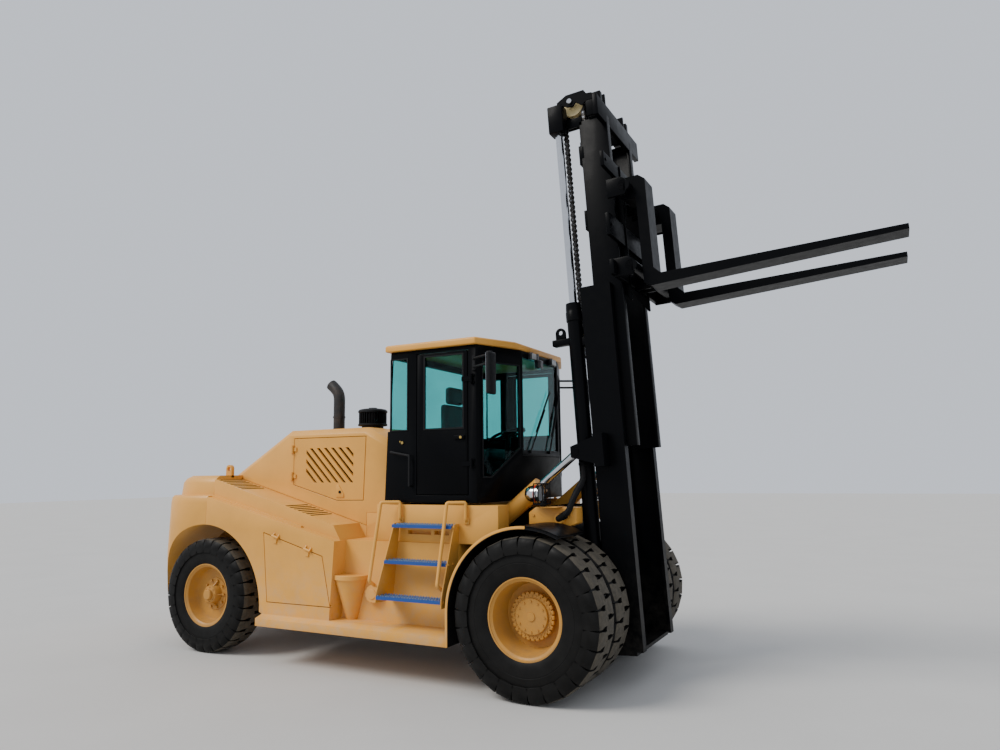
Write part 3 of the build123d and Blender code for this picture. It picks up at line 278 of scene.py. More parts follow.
def smooth_line(name, points):
    """A NURBS line of order 3 from its first point to its last."""
    deselect()
    bpy.ops.curve.primitive_nurbs_path_add()
    piece = active(name)
    line = piece.data
    line.splines.clear()
    spline = line.splines.new("NURBS")
    spline.points.add(len(points) - 1)
    for place, point in zip(spline.points, points):
        place.co = (*point, 1.0)
    spline.order_u = 3
    spline.use_endpoint_u = True
    line.dimensions = "3D"
    return piece


def tube(name, points, radius, sides=4):
    """A round bar that follows a smooth line."""
    line = smooth_line(name, points).data
    line.bevel_depth = radius
    line.bevel_resolution = sides
    line.use_fill_caps = True
    bpy.ops.object.convert(target="MESH")
    return settle(active(name))


# Places in millimetres, x from the drive axle, or on the raised mast


MM = 0.001
LEAN = math.radians(3.5)
MAST_FORWARD = Vector((math.cos(LEAN), 0, math.sin(LEAN)))
MAST_UP = Vector((-math.sin(LEAN), 0, math.cos(LEAN)))
MAST_PIVOT = Vector((AXLE_X + 0.420, 0, 0.700))


def at(x, y, z):
    return Vector((AXLE_X + x * MM, y * MM, z * MM))


def on_mast(out, y, up):
    return MAST_PIVOT + (MAST_FORWARD * out + Vector((0, y, 0)) + MAST_UP * up) * MM


def panel(name, points, y0, y1, place=at):
    """An outline drawn from the side, between two distances across."""
    return plate(name, [place(a, y0, b) for a, b in points], (0, (y1 - y0) * MM, 0))


def slab(name, points, z0, z1):
    """An outline drawn from above, between two heights."""
    return plate(name, [at(x, y, z0) for x, y in points], (0, 0, (z1 - z0) * MM))


def block(name, x0, x1, y0, y1, z0, z1, place=at):
    return panel(name, [(x0, z0), (x1, z0), (x1, z1), (x0, z1)], y0, y1, place)


def bar(name, start, end, radius, sides=24):
    """A straight round bar between two places in metres."""
    start, end = Vector(start), Vector(end)
    run = end - start
    deselect()
    bpy.ops.mesh.primitive_cylinder_add(vertices=sides, radius=radius, depth=run.length,
        location=(start + end) / 2, rotation=run.to_track_quat("Z", "Y").to_euler())
    return settle(active(name))


def crossbar(name, x, y0, y1, z, radius, sides, place=at):
    """A round bar that runs straight across the machine."""
    return bar(name, place(x, y0, z), place(x, y1, z), radius, sides)


def shaped(piece, others, way="DIFFERENCE"):
    """Cuts, adds or keeps the space of the other solids."""
    for other in others:
        modifier(piece, "BOOLEAN", object=other, operation=way, solver="EXACT")
        bpy.data.objects.remove(other)
    return piece


def soften(piece, width=0.004, segments=2, angle=30):
    modifier(piece, "BEVEL", width=width, segments=segments, limit_method="ANGLE",
             angle_limit=math.radians(angle))
    return piece


def coat(piece, key):
    piece.data.materials.clear()
    piece.data.materials.append(FINISH[key])
    return piece


def twins(piece):
    """The piece and its mirror image on the other side, as one."""
    name = piece.name
    return joined(name, [piece, mirrored(piece, name)])


def mount(piece, body, nodes=(), angle=35):
    smooth(piece, angle)
    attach(piece, body)
    if nodes:
        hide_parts(*nodes)
    return piece


def fit(piece, key, nodes=(), body="chassis", angle=35):
    """A piece in one finish on its body; where it stands for CAD nodes, these are hidden."""
    return mount(coat(piece, key), body, nodes, angle)


def hinge(x, y, z, spans, leaf, pinned=False):
    """Knuckles and leaves of an upright hinge, and its pin on the fixed half."""
    parts = []
    for low, high in spans:
        parts.append(bar("knuckle", at(x, y, z + low), at(x, y, z + high), 0.013, 16))
        parts.append(block("leaf", leaf[0], leaf[1], *sorted(leaf[2:]), z + low, z + high))
    if pinned:
        parts.append(bar("pin", at(x, y, z - 46), at(x, y, z + 46), 0.007, 12))
    return parts


def arc(centre_a, centre_b, radius, start, end, steps=12):
    """Points of an arc in degrees."""
    return [(centre_a + radius * math.cos(math.radians(start + (end - start) * step / steps)),
             centre_b + radius * math.sin(math.radians(start + (end - start) * step / steps)))
            for step in range(steps + 1)]


def drawn_in(points, inset):
    """A closed outline with every side moved inward."""
    corners = [Vector(point) for point in points]
    turn = sum(a.x * b.y - b.x * a.y for a, b in zip(corners, corners[1:] + corners[:1]))
    way = 1 if turn > 0 else -1
    result = []
    for index, corner in enumerate(corners):
        before = (corner - corners[index - 1]).normalized()
        after = (corners[(index + 1) % len(corners)] - corner).normalized()
        in_before = Vector((-before.y, before.x)) * way
        in_after = Vector((-after.y, after.x)) * way
        middle = (in_before + in_after).normalized()
        result.append(corner + middle * inset / middle.dot(in_before))
    return [(point.x, point.y) for point in result]


# Finishes


class Finish:
    """Builds one procedural material from Object coordinates."""

    def __init__(self, name):
        self.material = bpy.data.materials.get(name) or bpy.data.materials.new(name)
        self.material.use_nodes = True
        self.tree = self.material.node_tree
        self.tree.nodes.clear()
        self.shader = self.node("ShaderNodeBsdfPrincipled")
        output = self.node("ShaderNodeOutputMaterial")
        self.link(self.shader.outputs["BSDF"], output.inputs["Surface"])
        self.coordinates = self.node("ShaderNodeTexCoord")
        self.geometry = self.node("ShaderNodeNewGeometry")
        self.colour = None
        self.height = None

    def node(self, kind, **settings):
        made = self.tree.nodes.new(kind)
        for key, value in settings.items():
            setattr(made, key, value)
        return made

    def link(self, start, end):
        self.tree.links.new(start, end)

    def set(self, **sockets):
        for key, value in sockets.items():
            self.shader.inputs[key.replace("_", " ")].default_value = value

    def noise(self, scale, detail=3.0, rough=0.55, stretch=(1, 1, 1)):
        place = self.node("ShaderNodeMapping")
        place.inputs["Scale"].default_value = stretch
        self.link(self.coordinates.outputs["Object"], place.inputs["Vector"])
        made = self.node("ShaderNodeTexNoise")
        made.inputs["Scale"].default_value = scale
        made.inputs["Detail"].default_value = detail
        made.inputs["Roughness"].default_value = rough
        self.link(place.outputs["Vector"], made.inputs["Vector"])
        return made.outputs["Fac"]

    def band(self, value, low, high, start=0.0, end=1.0):
        """Maps low to high to start to end, held at both ends."""
        made = self.node("ShaderNodeMapRange")
        made.inputs["From Min"].default_value = low
        made.inputs["From Max"].default_value = high
        made.inputs["To Min"].default_value = start
        made.inputs["To Max"].default_value = end
        self.link(value, made.inputs["Value"])
        return made.outputs["Result"]

    def product(self, first, second):
        made = self.node("ShaderNodeMath", operation="MULTIPLY")
        self.link(first, made.inputs[0])
        if isinstance(second, float):
            made.inputs[1].default_value = second
        else:
            self.link(second, made.inputs[1])
        return made.outputs["Value"]

    def facing_up(self, low=0.5, high=0.95):
        split = self.node("ShaderNodeSeparateXYZ")
        self.link(self.geometry.outputs["Normal"], split.inputs["Vector"])
        return self.band(split.outputs["Z"], low, high)

    def along(self, axis):
        split = self.node("ShaderNodeSeparateXYZ")
        self.link(self.coordinates.outputs["Object"], split.inputs["Vector"])
        return split.outputs[axis]

    def tint(self, first, second, share):
        """Mixes from the first colour to the second by a share."""
        made = self.node("ShaderNodeMix", data_type="RGBA")
        if hasattr(first, "default_value"):
            self.link(first, made.inputs[6])
        else:
            made.inputs[6].default_value = (*first, 1.0)
        made.inputs[7].default_value = (*second, 1.0)
        self.link(share, made.inputs[0])
        return made.outputs[2]

    def paint(self, colour):
        self.link(colour, self.shader.inputs["Base Color"])

    def rough(self, value):
        self.link(value, self.shader.inputs["Roughness"])

    def bump(self, height, strength, distance):
        made = self.node("ShaderNodeBump")
        made.inputs["Strength"].default_value = strength
        made.inputs["Distance"].default_value = distance
        self.link(height, made.inputs["Height"])
        if self.height:
            self.link(self.height, made.inputs["Normal"])
        self.height = made.outputs["Normal"]
        self.link(self.height, self.shader.inputs["Normal"])


def shade(colour, factor):
    return tuple(min(1.0, part * factor) for part in colour)


def painted(name, colour, roughness, dust=(0.42, 0.36, 0.28), dust_share=0.25, gloss=0.25,
            shine=0.5):
    """Sprayed enamel: faint mottling, orange peel, dust on level tops and near the ground."""
    finish = Finish(name)
    mottle = finish.band(finish.noise(3.1, 4.0), 0.3, 0.7)
    base = finish.tint(shade(colour, 0.94), shade(colour, 1.05), mottle)
    low = finish.band(finish.along("Z"), 0.35, 1.15, 0.55, 0.0)
    dirt = finish.product(low, finish.band(finish.noise(9.0, 6.0, 0.7), 0.42, 0.75))
    base = finish.tint(base, dust, dirt)
    level = finish.facing_up()
    tops = finish.product(level, finish.band(finish.noise(6.0, 5.0, 0.65), 0.35, 0.8, 0.0, dust_share))
    base = finish.tint(base, dust, tops)
    finish.paint(base)
    finish.rough(finish.band(finish.noise(14.0, 4.0), 0.25, 0.75, roughness * 0.85, roughness * 1.2))
    finish.bump(finish.noise(240.0, 2.0), 0.06, 0.0008)
    finish.set(Metallic=0.0, Coat_Weight=gloss, Coat_Roughness=0.12, Specular_IOR_Level=shine)
    return finish.material


def mixed(name, first, second, grain, rough, bump=None, **sockets):
    """A finish between two colours; each of the others is a noise and what it is mapped to."""
    finish = Finish(name)
    share = finish.noise(*grain[0])
    if len(grain) > 1:
        share = finish.band(share, *grain[1])
    finish.paint(finish.tint(first, second, share))
    finish.rough(finish.band(finish.noise(*rough[0]), *rough[1]))
    if bump:
        finish.bump(finish.noise(*bump[0]), *bump[1])
    finish.set(**sockets)
    return finish.material


def step_enamel(colour):
    """Blue paint, worn through to grey where feet tread."""
    blue = Finish("step_enamel")
    worn = blue.product(blue.facing_up(), blue.band(blue.noise(26.0, 5.0, 0.7), 0.45, 0.7, 0.0, 0.7))
    blue.paint(blue.tint(blue.tint(colour, shade(colour, 1.5), blue.noise(5.0)), (0.20, 0.20, 0.20), worn))
    blue.rough(blue.band(blue.noise(18.0), 0.3, 0.7, 0.35, 0.6))
    blue.bump(blue.noise(200.0), 0.1, 0.0006)
    return blue.material


def make_finishes(colours):
    return {
        "paint_sand": painted("sand_enamel", colours.sand, 0.42, dust_share=0.10, gloss=0.06, shine=0.3),
        "paint_black": painted("black_enamel", colours.black, 0.36, (0.05, 0.045, 0.038), 0.12, 0.02, 0.05),
        "wheel_cream": painted("cream_enamel", (0.74, 0.60, 0.30), 0.38),
        "rim_amber": painted("rim_enamel", (0.50, 0.24, 0.045), 0.45, (0.22, 0.15, 0.08), 0.2, 0.03, 0.25),
        # Dark brown finish of the ring laid in the drive rims' recess: painted shade.
        "rim_recess_painted_shade": painted("rim_recess_painted_shade", (0.045, 0.024, 0.010), 0.7, gloss=0.0, shine=0.1),
        # Step teeth in a lighter blue-grey than the treads: worn steel, and a painted highlight for the light the
        # teeth catch.
        "tooth_steel": painted("worn_steel_and_painted_highlight", (0.16, 0.27, 0.42), 0.4, gloss=0.0, shine=0.5),
        "tread": mixed(
            "dusty_rubber", colours.rubber, colours.tread_dust, ((18.0, 5.0, 0.7), (0.28, 0.72, 0.35, 1.0)),
            ((40.0,), (0.3, 0.7, 0.78, 0.95)), ((160.0, 5.0, 0.7), (0.35, 0.0015))),
        "tyre": mixed(
            "side_wall_rubber", colours.rubber, shade(colours.rubber, 1.9), ((7.0, 5.0, 0.6), (0.35, 0.75)),
            ((22.0,), (0.3, 0.7, 0.42, 0.62)), ((320.0, 3.0), (0.12, 0.0006)), Specular_IOR_Level=0.12),
        "glass": mixed(
            "tinted_glass", colours.glass, shade(colours.glass, 0.9), ((2.2, 4.0), (0.4, 0.8)),
            ((11.0, 5.0), (0.4, 0.8, 0.01, 0.05)), Transmission_Weight=1.0, IOR=1.2),
        "tread_blue": step_enamel(colours.step_blue),
        "rod_chrome": mixed(
            "ground_chrome", (0.62, 0.63, 0.65), (0.52, 0.53, 0.55), ((30.0, 4.0),),
            ((60.0, 3.0, 0.5, (1, 1, 8)), (0.3, 0.7, 0.08, 0.18)), Metallic=1.0),
        "chain_steel": mixed(
            "greased_steel", (0.16, 0.15, 0.14), (0.05, 0.045, 0.04), ((24.0, 5.0, 0.7), (0.35, 0.65)),
            ((50.0,), (0.3, 0.7, 0.28, 0.5)), ((180.0,), (0.15, 0.0006)), Metallic=0.85),
        "cast_black": mixed(
            "painted_casting", (0.004, 0.004, 0.0045), (0.022, 0.019, 0.015),
            ((8.0, 6.0, 0.7), (0.45, 0.8)), ((20.0,), (0.3, 0.7, 0.55, 0.8)),
            ((120.0, 4.0, 0.7), (0.35, 0.0015)), Specular_IOR_Level=0.15),
        "seat_vinyl": mixed(
            "seat_vinyl", (0.020, 0.020, 0.022), (0.034, 0.034, 0.036), ((12.0, 4.0),),
            ((30.0,), (0.3, 0.7, 0.45, 0.65)), ((420.0, 3.0, 0.6), (0.3, 0.0006))),
        "lamp": mixed(
            "lamp_housing", (0.010, 0.010, 0.011), (0.022, 0.022, 0.024), ((12.0,),),
            ((20.0,), (0.3, 0.7, 0.15, 0.3))),
        "plastic_black": mixed(
            "moulded_plastic", (0.0035, 0.0036, 0.0042), (0.008, 0.008, 0.009), ((9.0, 4.0),),
            ((30.0,), (0.3, 0.7, 0.42, 0.6)), ((500.0, 2.0), (0.2, 0.0004)), Specular_IOR_Level=0.2),
        "exhaust_steel": mixed(
            "heated_steel", (0.022, 0.021, 0.021), (0.075, 0.055, 0.042), ((10.0, 6.0, 0.7), (0.45, 0.8)),
            ((20.0,), (0.3, 0.7, 0.4, 0.65)), ((150.0,), (0.15, 0.0008)), Metallic=0.4),
        "lens": mixed(
            "lamp_lens", (0.82, 0.84, 0.86), (0.92, 0.93, 0.94), ((20.0,),),
            ((60.0,), (0.3, 0.7, 0.05, 0.15)), ((90.0, 0.0),
                                                (0.4, 0.001)), Transmission_Weight=0.6, IOR=1.45),
        "red": mixed(
            "red_lens", (0.50, 0.010, 0.008), (0.62, 0.03, 0.015), ((16.0,),),
            ((40.0,), (0.3, 0.7, 0.12, 0.25))),
        "gold": mixed(
            "brass_lock", (0.62, 0.42, 0.12), (0.44, 0.30, 0.10), ((60.0,),),
            ((80.0,), (0.3, 0.7, 0.2, 0.4)), Metallic=1.0),
    }


FINISH = {}


# Tyres


DRIVE_TYRE_WIDTH = 0.372
LUG_ROOT = 0.012


def tyre_piece(name, centre, half, outer, bead):
    """Carcass turned from its section: bead, bulging wall with ring lines, shoulder and tread floor."""
    tyres = bpy.context.scene.forklift_tyres
    depth = tyres.lug_depth
    floor = outer - depth
    section = [(half * 0.80, bead), (half * 0.86, bead + 0.012), (half * 0.885, bead + 0.022),
        (half * 0.93, bead + 0.034), (half * 0.975, bead + 0.075), (half * 0.990, bead + 0.110),
        (half * 1.000, bead + 0.135), (half * 0.990, bead + 0.137), (half * 0.990, bead + 0.143),
        (half * 1.000, bead + 0.145), (half * 0.980, outer - 0.150), (half * 0.945, outer - 0.110),
        (half * 0.90, outer - 0.075), (half * 0.82, floor - 0.012), (half * 0.45, floor - 0.002),
        (0.0, floor)]
    section += [(-along, radius) for along, radius in reversed(section[:-1])]
    return coat(turned(name, section, centre, steps=tyres.facets), "tyre")


def lug_ring(name, centre, half, outer, count, side):
    """One lug, extruded from the tread's middle over the shoulder, and copied round the wheel."""
    axle_x, middle, axle_z = centre
    pitch = 2 * math.pi * outer / count
    bottom = outer - bpy.context.scene.forklift_tyres.lug_depth - LUG_ROOT
    piece = cube(name, (axle_x, middle + side * half * 0.20, axle_z + (outer + bottom) / 2),
                 (pitch * 0.74, half * 0.36, outer - bottom))
    editing(piece)
    choose_faces(piece, lambda place, normal: normal.y * side > 0.9)
    for reach, drop, grow in ((half * 0.30, 0.0, 1.19), (half * 0.24, -0.010, 1.0),
                              (half * 0.135, -0.042, 0.98)):
        bpy.ops.mesh.extrude_region_move(TRANSFORM_OT_translate={"value": (0, side * reach, drop)})
        bpy.ops.transform.resize(value=(grow, 1, 1), center_override=centre)
    bpy.ops.mesh.extrude_region_move(TRANSFORM_OT_translate={"value": (0, side * half * 0.02, -0.055)})
    choose_faces(piece, lambda place, normal: normal.y * side < -0.9)
    slant = pitch * 0.18
    bpy.ops.mesh.extrude_region_move(TRANSFORM_OT_translate={"value": (slant, -side * half * 0.14, 0)})
    bpy.ops.transform.resize(value=(0.42, 1, 1), center_override=(axle_x + slant, middle, axle_z))
    bpy.ops.mesh.select_all(action="SELECT")
    bpy.ops.transform.rotate(value=side * math.pi / 2 / count, orient_axis="Y", center_override=centre)
    bpy.ops.mesh.normals_make_consistent(inside=False)
    bpy.ops.object.mode_set(mode="OBJECT")
    return ring_of(soften(piece, 0.005, 1, 40), count, centre)


class FORKLIFT_OT_finishes(bpy.types.Operator):
    """Makes the machine's finishes and gives them to the pieces of the frame"""
    bl_idname = "forklift.finishes"
    bl_label = "Finishes"

    def execute(self, context):
        FINISH.update(make_finishes(context.scene.forklift_finishes))
        for name, node in NODES.items():
            node.data.materials.clear()
            node.data.materials.append(FINISH[SLOTS[name]])
        return {"FINISHED"}


def tyre_with_lugs(name, node, middle, half, bead, count):
    low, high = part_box(node)
    centre = ((low[0] + high[0]) / 2, middle, (low[2] + high[2]) / 2)
    outer = (high[2] - low[2]) / 2
    pieces = [tyre_piece(name, centre, half, outer, bead)]
    for side in (-1, 1):
        ring = lug_ring(name + "_lugs", centre, half, outer, count, side)
        coat(ring, "tyre").data.materials.append(FINISH["tread"])
        for face in ring.data.polygons:
            spot = face.center - Vector(centre)
            outward = Vector((spot.x, 0, spot.z)).normalized()
            face.material_index = 1 if face.normal.dot(outward) > 0.55 else 0
        pieces.append(ring)
    piece = joined(name, pieces)
    smooth(piece, 30)
    return piece


class FORKLIFT_OT_drive_tyres(bpy.types.Operator):
    """Twin drive tyres with two rows of lugs that meet in a V"""
    bl_idname = "forklift.drive_tyres"
    bl_label = "Drive tyres"

    def execute(self, context):
        lugs = context.scene.forklift_tyres.drive_lugs
        half = DRIVE_TYRE_WIDTH / 2
        for name, side in SIDES:
            node = "drive_tyres_" + name
            low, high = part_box(node)
            middles = [low[1] + half, high[1] - half]
            pieces = [tyre_with_lugs("drive_tyre", node, middle, half, 0.325, lugs)
                      for middle in middles[::-int(side)]]
            piece = joined("drive_tyres_dressed_" + name, pieces)
            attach(piece, "drive_wheels_" + name)
            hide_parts(node)
        return {"FINISHED"}


class FORKLIFT_OT_steer_tyres(bpy.types.Operator):
    """Steered tyres, one on each side"""
    bl_idname = "forklift.steer_tyres"
    bl_label = "Steered tyres"

    def execute(self, context):
        lugs = context.scene.forklift_tyres.steer_lugs
        for name, _ in SIDES:
            node = "steer_tyre_" + name
            low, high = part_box(node)
            piece = tyre_with_lugs("steer_tyre_dressed_" + name, node, (low[1] + high[1]) / 2,
                (high[1] - low[1]) / 2, 0.315, lugs)
            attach(piece, "steer_wheel_" + name)
            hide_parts(node)
        return {"FINISHED"}


# Tail weight, hood, side bodies and platform


TAIL_SEAM = -3940
ARCH = (-3950, 520, 850)
HOOD_HALF = 690
HOOD_HINGE_X, HOOD_HINGES = -3160, (1885, 2185)
LOUVRE_SLANT = 14 * math.sqrt(2)
LOUVRE_CORNERS = ((400, LOUVRE_SLANT), (400, -LOUVRE_SLANT), (-400, -LOUVRE_SLANT), (-400, LOUVRE_SLANT))
SHOULDER_REAR, SHOULDER_FRONT = (-3937, 1860), (-2120, 1364)


def shoulder(x):
    (x0, z0), (x1, z1) = SHOULDER_REAR, SHOULDER_FRONT
    return z0 + (z1 - z0) * (x - x0) / (x1 - x0)


def wheel_arch():
    return crossbar("arch", ARCH[0], -1500, 1500, ARCH[1], ARCH[2] * MM, 96)


class FORKLIFT_OT_tail(bpy.types.Operator):
    """Cast tail weight in two tiers with broad round corners, lifting lugs and a tow pin socket"""
    bl_idname = "forklift.tail"
    bl_label = "Tail weight"

    def execute(self, context):
        levels = ((560, -5030, 1200), (640, -5040, 1200), (1030, -5067, 1200), (1600, -5030, 1200),
                  (1655, -5018, 1194), (1680, -4998, 1178), (1682, -4935, 1105), (1700, -4930, 1101),
                  (1825, -4905, 1095), (1872, -4868, 1068), (1905, -4800, 1020))
        height, rear, half = levels[0]
        corner = 800
        plan = [(TAIL_SEAM, -half)] + arc(rear + corner, -half + corner, corner, 270, 180, 14)
        plan += arc(rear + corner, half - corner, corner, 180, 90, 14) + [(TAIL_SEAM, half)]
        tail = slab("tail_weight", plan, height, levels[1][0])
        editing(tail)
        for step, (low, high) in enumerate(zip(levels, levels[1:])):
            top = high[0] * MM if step == 0 else low[0] * MM
            choose_faces(tail, lambda place, normal: normal.z > 0.9 and abs(place.z - top) < 1e-4)
            if step:
                rise = (high[0] - low[0]) * MM
                bpy.ops.mesh.extrude_region_move(TRANSFORM_OT_translate={"value": (0, 0, rise)})
            bpy.ops.transform.resize(value=((high[1] - TAIL_SEAM) / (low[1] - TAIL_SEAM), high[2] / low[2],
                1), center_override=at(TAIL_SEAM, 0, high[0]))
        bpy.ops.object.mode_set(mode="OBJECT")
        shaped(tail, [block("notch", TAIL_SEAM - 155, TAIL_SEAM + 20, -693, 693, 1500, 1950),
            block("hollow", TAIL_SEAM - 770, TAIL_SEAM + 20, -510, 510, 500, 1500), wheel_arch(),
            block("tow_slot", -5120, -4902, -110, 110, 640, 800),
            bar("tow_hole", at(-4957, 0, 500), at(-4957, 0, 960), 0.025)])
        soften(tail, 0.009, 2, 40)
        lugs = []
        for y in (-860, 820):
            lug = panel("lug", arc(-3985, 1980, 45, 0, 180, 16) + [(-4030, 1880), (-3940, 1880)], y, y + 40)
            shaped(lug, [bar("eye", at(-3985, y - 20, 1975), at(-3985, y + 60, 1975), 0.025)])
            lugs.append(soften(lug, 0.003, 1))
        pin = bar("tow_pin", at(-4957, 0, 600), at(-4957, 0, 920), 0.0235)
        fit(joined("tail_weight", [tail, pin] + lugs), "paint_sand", ["counterweight"])
        return {"FINISHED"}


class FORKLIFT_OT_hood(bpy.types.Operator):
    """Hollow engine hood with bevelled edges and its two louvred doors"""
    bl_idname = "forklift.hood"
    bl_label = "Hood"

    def execute(self, context):
        def solid(name, points, half, bevel):
            body = panel(name, points, -half, half)
            editing(body, "EDGE")
            choose_edges(body, lambda a, b: abs(a.y - b.y) < 1e-5 and (a.z + b.z) / 2 > 2.06)
            bpy.ops.mesh.bevel(offset=bevel * MM, segments=1, affect="EDGES")
            bpy.ops.object.mode_set(mode="OBJECT")
            return body

        rear, front = shoulder(-4090) + 3, shoulder(-2123) + 3
        hood = solid("hood_shell", [(-4090, rear), (-3240, 2400), (-2150, 2400), (-1780, 2205),
            (-1780, 1500), (-2120, 1500), (-2123, front)], HOOD_HALF, 60)
        inside = solid("inside", [(-3980, 1840), (-3232, 2370), (-2158, 2370), (-1810, 2186), (-1810, 1340),
            (-2300, 1340)], HOOD_HALF - 30, 45)
        opening = [(-3155, 2310), (-3155, 1790), (-2531, 1620), (-2165, 1623), (-2139, 2305)]
        shaped(hood, [inside, panel("doors", opening, -720, 720)])
        soften(hood, 0.004, 1)
        hinges = []
        for turn in (-1, 1):
            for z in HOOD_HINGES:
                hinges += hinge(HOOD_HINGE_X, turn * 709, z, ((-44, -22), (22, 44)),
                    (-3192, -3158, turn * 688, turn * 703), True)
        fit(joined("hood_shell", [hood] + hinges), "paint_sand", ["hood"])

        window = ((-2970, -2310), (1812, 2190))
        for name, turn in SIDES:
            inner, outer = sorted((turn * 660, turn * 690))
            door = panel("hood_door_dressed_" + name, drawn_in(opening, 6), inner, outer)
            slots = []
            for step in range(9):
                middle = -3019 + step * 101
                strip = [(middle + across + shift, 2001 - shift) for shift, across in LOUVRE_CORNERS]
                slot = panel("louvre", strip, inner - 20, outer + 20)
                shaped(slot, [block("window", *window[0], inner - 30, outer + 30, *window[1])], "INTERSECT")
                if len(slot.data.vertices):
                    slots.append(slot)
                else:
                    bpy.data.objects.remove(slot)
            shaped(door, slots)
            soften(door, 0.003, 1)
            extras = []
            for z in HOOD_HINGES:
                extras += hinge(HOOD_HINGE_X, turn * 709, z, ((-21, 21),),
                    (-3162, -3110, turn * 688, turn * 703))
            extras.append(soften(panel("latch", [(-2531, 1790), (-2500, 1790), (-2428, 1690), (-2428, 1655),
                (-2531, 1655)], *sorted((turn * 688, turn * 699))), 0.003))
            lock = crossbar("lock", -2478, turn * 690, turn * 706, 1712, 0.016, 20)
            extras.append(coat(lock, "cast_black"))
            for piece in [door] + extras[:-1]:
                coat(piece, "paint_sand")
            mount(joined("hood_door_dressed_" + name, [door] + extras), "hood_door_" + name,
                  ["hood_door_" + name])
        return {"FINISHED"}


DOOR_OUTLINE = [(-3072, 1311), (-2268, 1097), (-2154, 605), (-3000, 602)]


class FORKLIFT_OT_side_bodies(bpy.types.Operator):
    """Side bodies with their falling shoulders, wheel arch, sill, filler cone and scalloped cap"""
    bl_idname = "forklift.side_bodies"
    bl_label = "Side bodies"

    def execute(self, context):
        body = panel("side_bodies_dressed", [(-3937, 1670), (-2120, 1243), (-2170, 482), (-3060, 482),
            (-3937, 900)], -1200, -510)
        upper = panel("upper", [(-3937, 1860), (-2220, shoulder(-2220)), (-2130, 1250), (-2130, 1200),
            (-3937, 1500)], -1100, -689)
        inner = panel("inner", [(-3937, 1860), (-2120, 1364), (-2120, 1200), (-3937, 1500)], -690, -512)
        tank = panel("tank", [(-2171, 1245), (-800, 1245), (-800, 478), (-2171, 478)], -1012, -508)
        column = panel("column", [(-2121, 1500), (-1750, 1500), (-1750, 1243), (-2121, 1243)], -687, -514)
        sill = plate("sill", [at(-3060, y, z) for y, z in ((-1290, 380), (-1290, 455), (-1200, 484),
            (-506, 484), (-506, 380))], ((3060 - ARCH_RADIUS) * MM, 0, 0))
        ridge = panel("ridge", [(-3937, 1690), (-2620, 1380), (-2620, 1340), (-3937, 1650)], -1130, -1090)
        shaped(body, [upper, inner, tank, column, sill, ridge], "UNION")
        shaped(body, [wheel_arch(), panel("door", DOOR_OUTLINE, -1230, -1173)])
        soften(body, 0.008, 2, 25)
        cone = turned("cone", [(0, 0), (0, 0.060), (0.390, 0.176), (0.392, 0.190), (0.430, 0.190),
            (0.434, 0.186), (0.434, 0)], at(-2030, -1012, 480), (0, 0, 1), 48)
        neck = crossbar("neck", -1750, -1042, -1010, 743, 0.058, 40)
        rim = []
        for count in range(144):
            turn = math.radians(count * 2.5)
            reach = 84 - 7 * max(0.0, math.cos(turn * 12)) ** 2
            rim.append((-1750 + reach * math.cos(turn), 743 + reach * math.sin(turn)))
        cap = soften(panel("cap", rim, -1070, -1040), 0.003, 1, 50)
        boss = turned("boss", [(0, 0.050), (-0.008, 0.046), (-0.010, 0.0)], at(-1750, -1070, 743),
                      (0, 1, 0), 32)
        pieces = [body, cone, neck, cap, boss]
        top = Vector((-2268 + 3072, 0, 1097 - 1311)).normalized()
        for station in (190, 640):
            middle = at(-3072, -1219, 1311) + top * station * MM + Vector((-top.z, 0, top.x)) * 0.005
            for low, high in ((-44, -22), (22, 44)):
                pieces.append(bar("knuckle", middle + top * low * MM, middle + top * high * MM, 0.013, 16))
                pieces.append(bar("foot", middle + top * (low + high) / 2 * MM,
                    middle + top * (low + high) / 2 * MM + Vector((-top.z * 0.03, 0.02, top.x * 0.03)),
                    0.010, 8))
            pieces.append(bar("pin", middle - top * 0.046, middle + top * 0.046, 0.007, 12))
        near = joined("side_bodies_dressed", pieces)
        fit(twins(near), "paint_sand", ["side_bodies"])
        grips = []
        for start, end, half0, half1 in ((-3905, -3560, -1060, -740), (-2900, -2560, -1060, -740)):
            for count in range(7):
                x = start + (end - start) * count / 6
                grips.append(block("grip", x - 13, x + 13, half0, half1, shoulder(x) - 2, shoulder(x) + 3))
        fit(twins(joined("grip_strips", grips)), "plastic_black")
        return {"FINISHED"}


class FORKLIFT_OT_platform(bpy.types.Operator):
    """Platform under the cab with long slots over the ladder"""
    bl_idname = "forklift.platform"
    bl_label = "Platform"

    def execute(self, context):
        deck = block("platform_dressed", -1750, -900, -1000, 1000, 1500, 1600)
        sides = [block("side", -1751, -390, y0, y1, 1246, 1599) for y0, y1 in ((-1001, -790), (790, 1001))]
        shaped(deck, sides, "UNION")
        slots = [block("slot", x0, x1, y0, y1, 1322, 1358)
                 for x0, x1 in ((-1377, -1113), (-1074, -913)) for y0, y1 in ((-1030, -940), (940, 1030))]
        wheel = [at(0, y, DRIVE_AXLE_UP) for y in (-1100, 1100)]
        shaped(deck, slots + [bar("wheel", *wheel, ARCH_RADIUS * MM, 96)])
        soften(deck, 0.005, 2)
        feet = [block("foot", x, x + 120, y, y + 120, 1598, 1620) for x in (-1600, -900)
                for y in (-940, 820)]
        fit(joined("platform_dressed", [deck] + feet), "paint_sand", ["platform"])
        return {"FINISHED"}


# Cab


CAB_PLAN = [(-1662, -1000), (-610, -1000), (-400, -450), (-400, 450), (-610, 1000), (-1662, 1000)]
CORNER_RUN = Vector((210, 550)).length
CAB_HINGE_X, CAB_HINGES = -655, (1985, 2785)
SIDE_WINDOW = [(-1600, 2315), (-1385, 2315), (-1385, 3040), (-1600, 3040)]
DOOR_WINDOW = [(-1200, 2315), (-745, 2315), (-745, 3040), (-1200, 3040)]


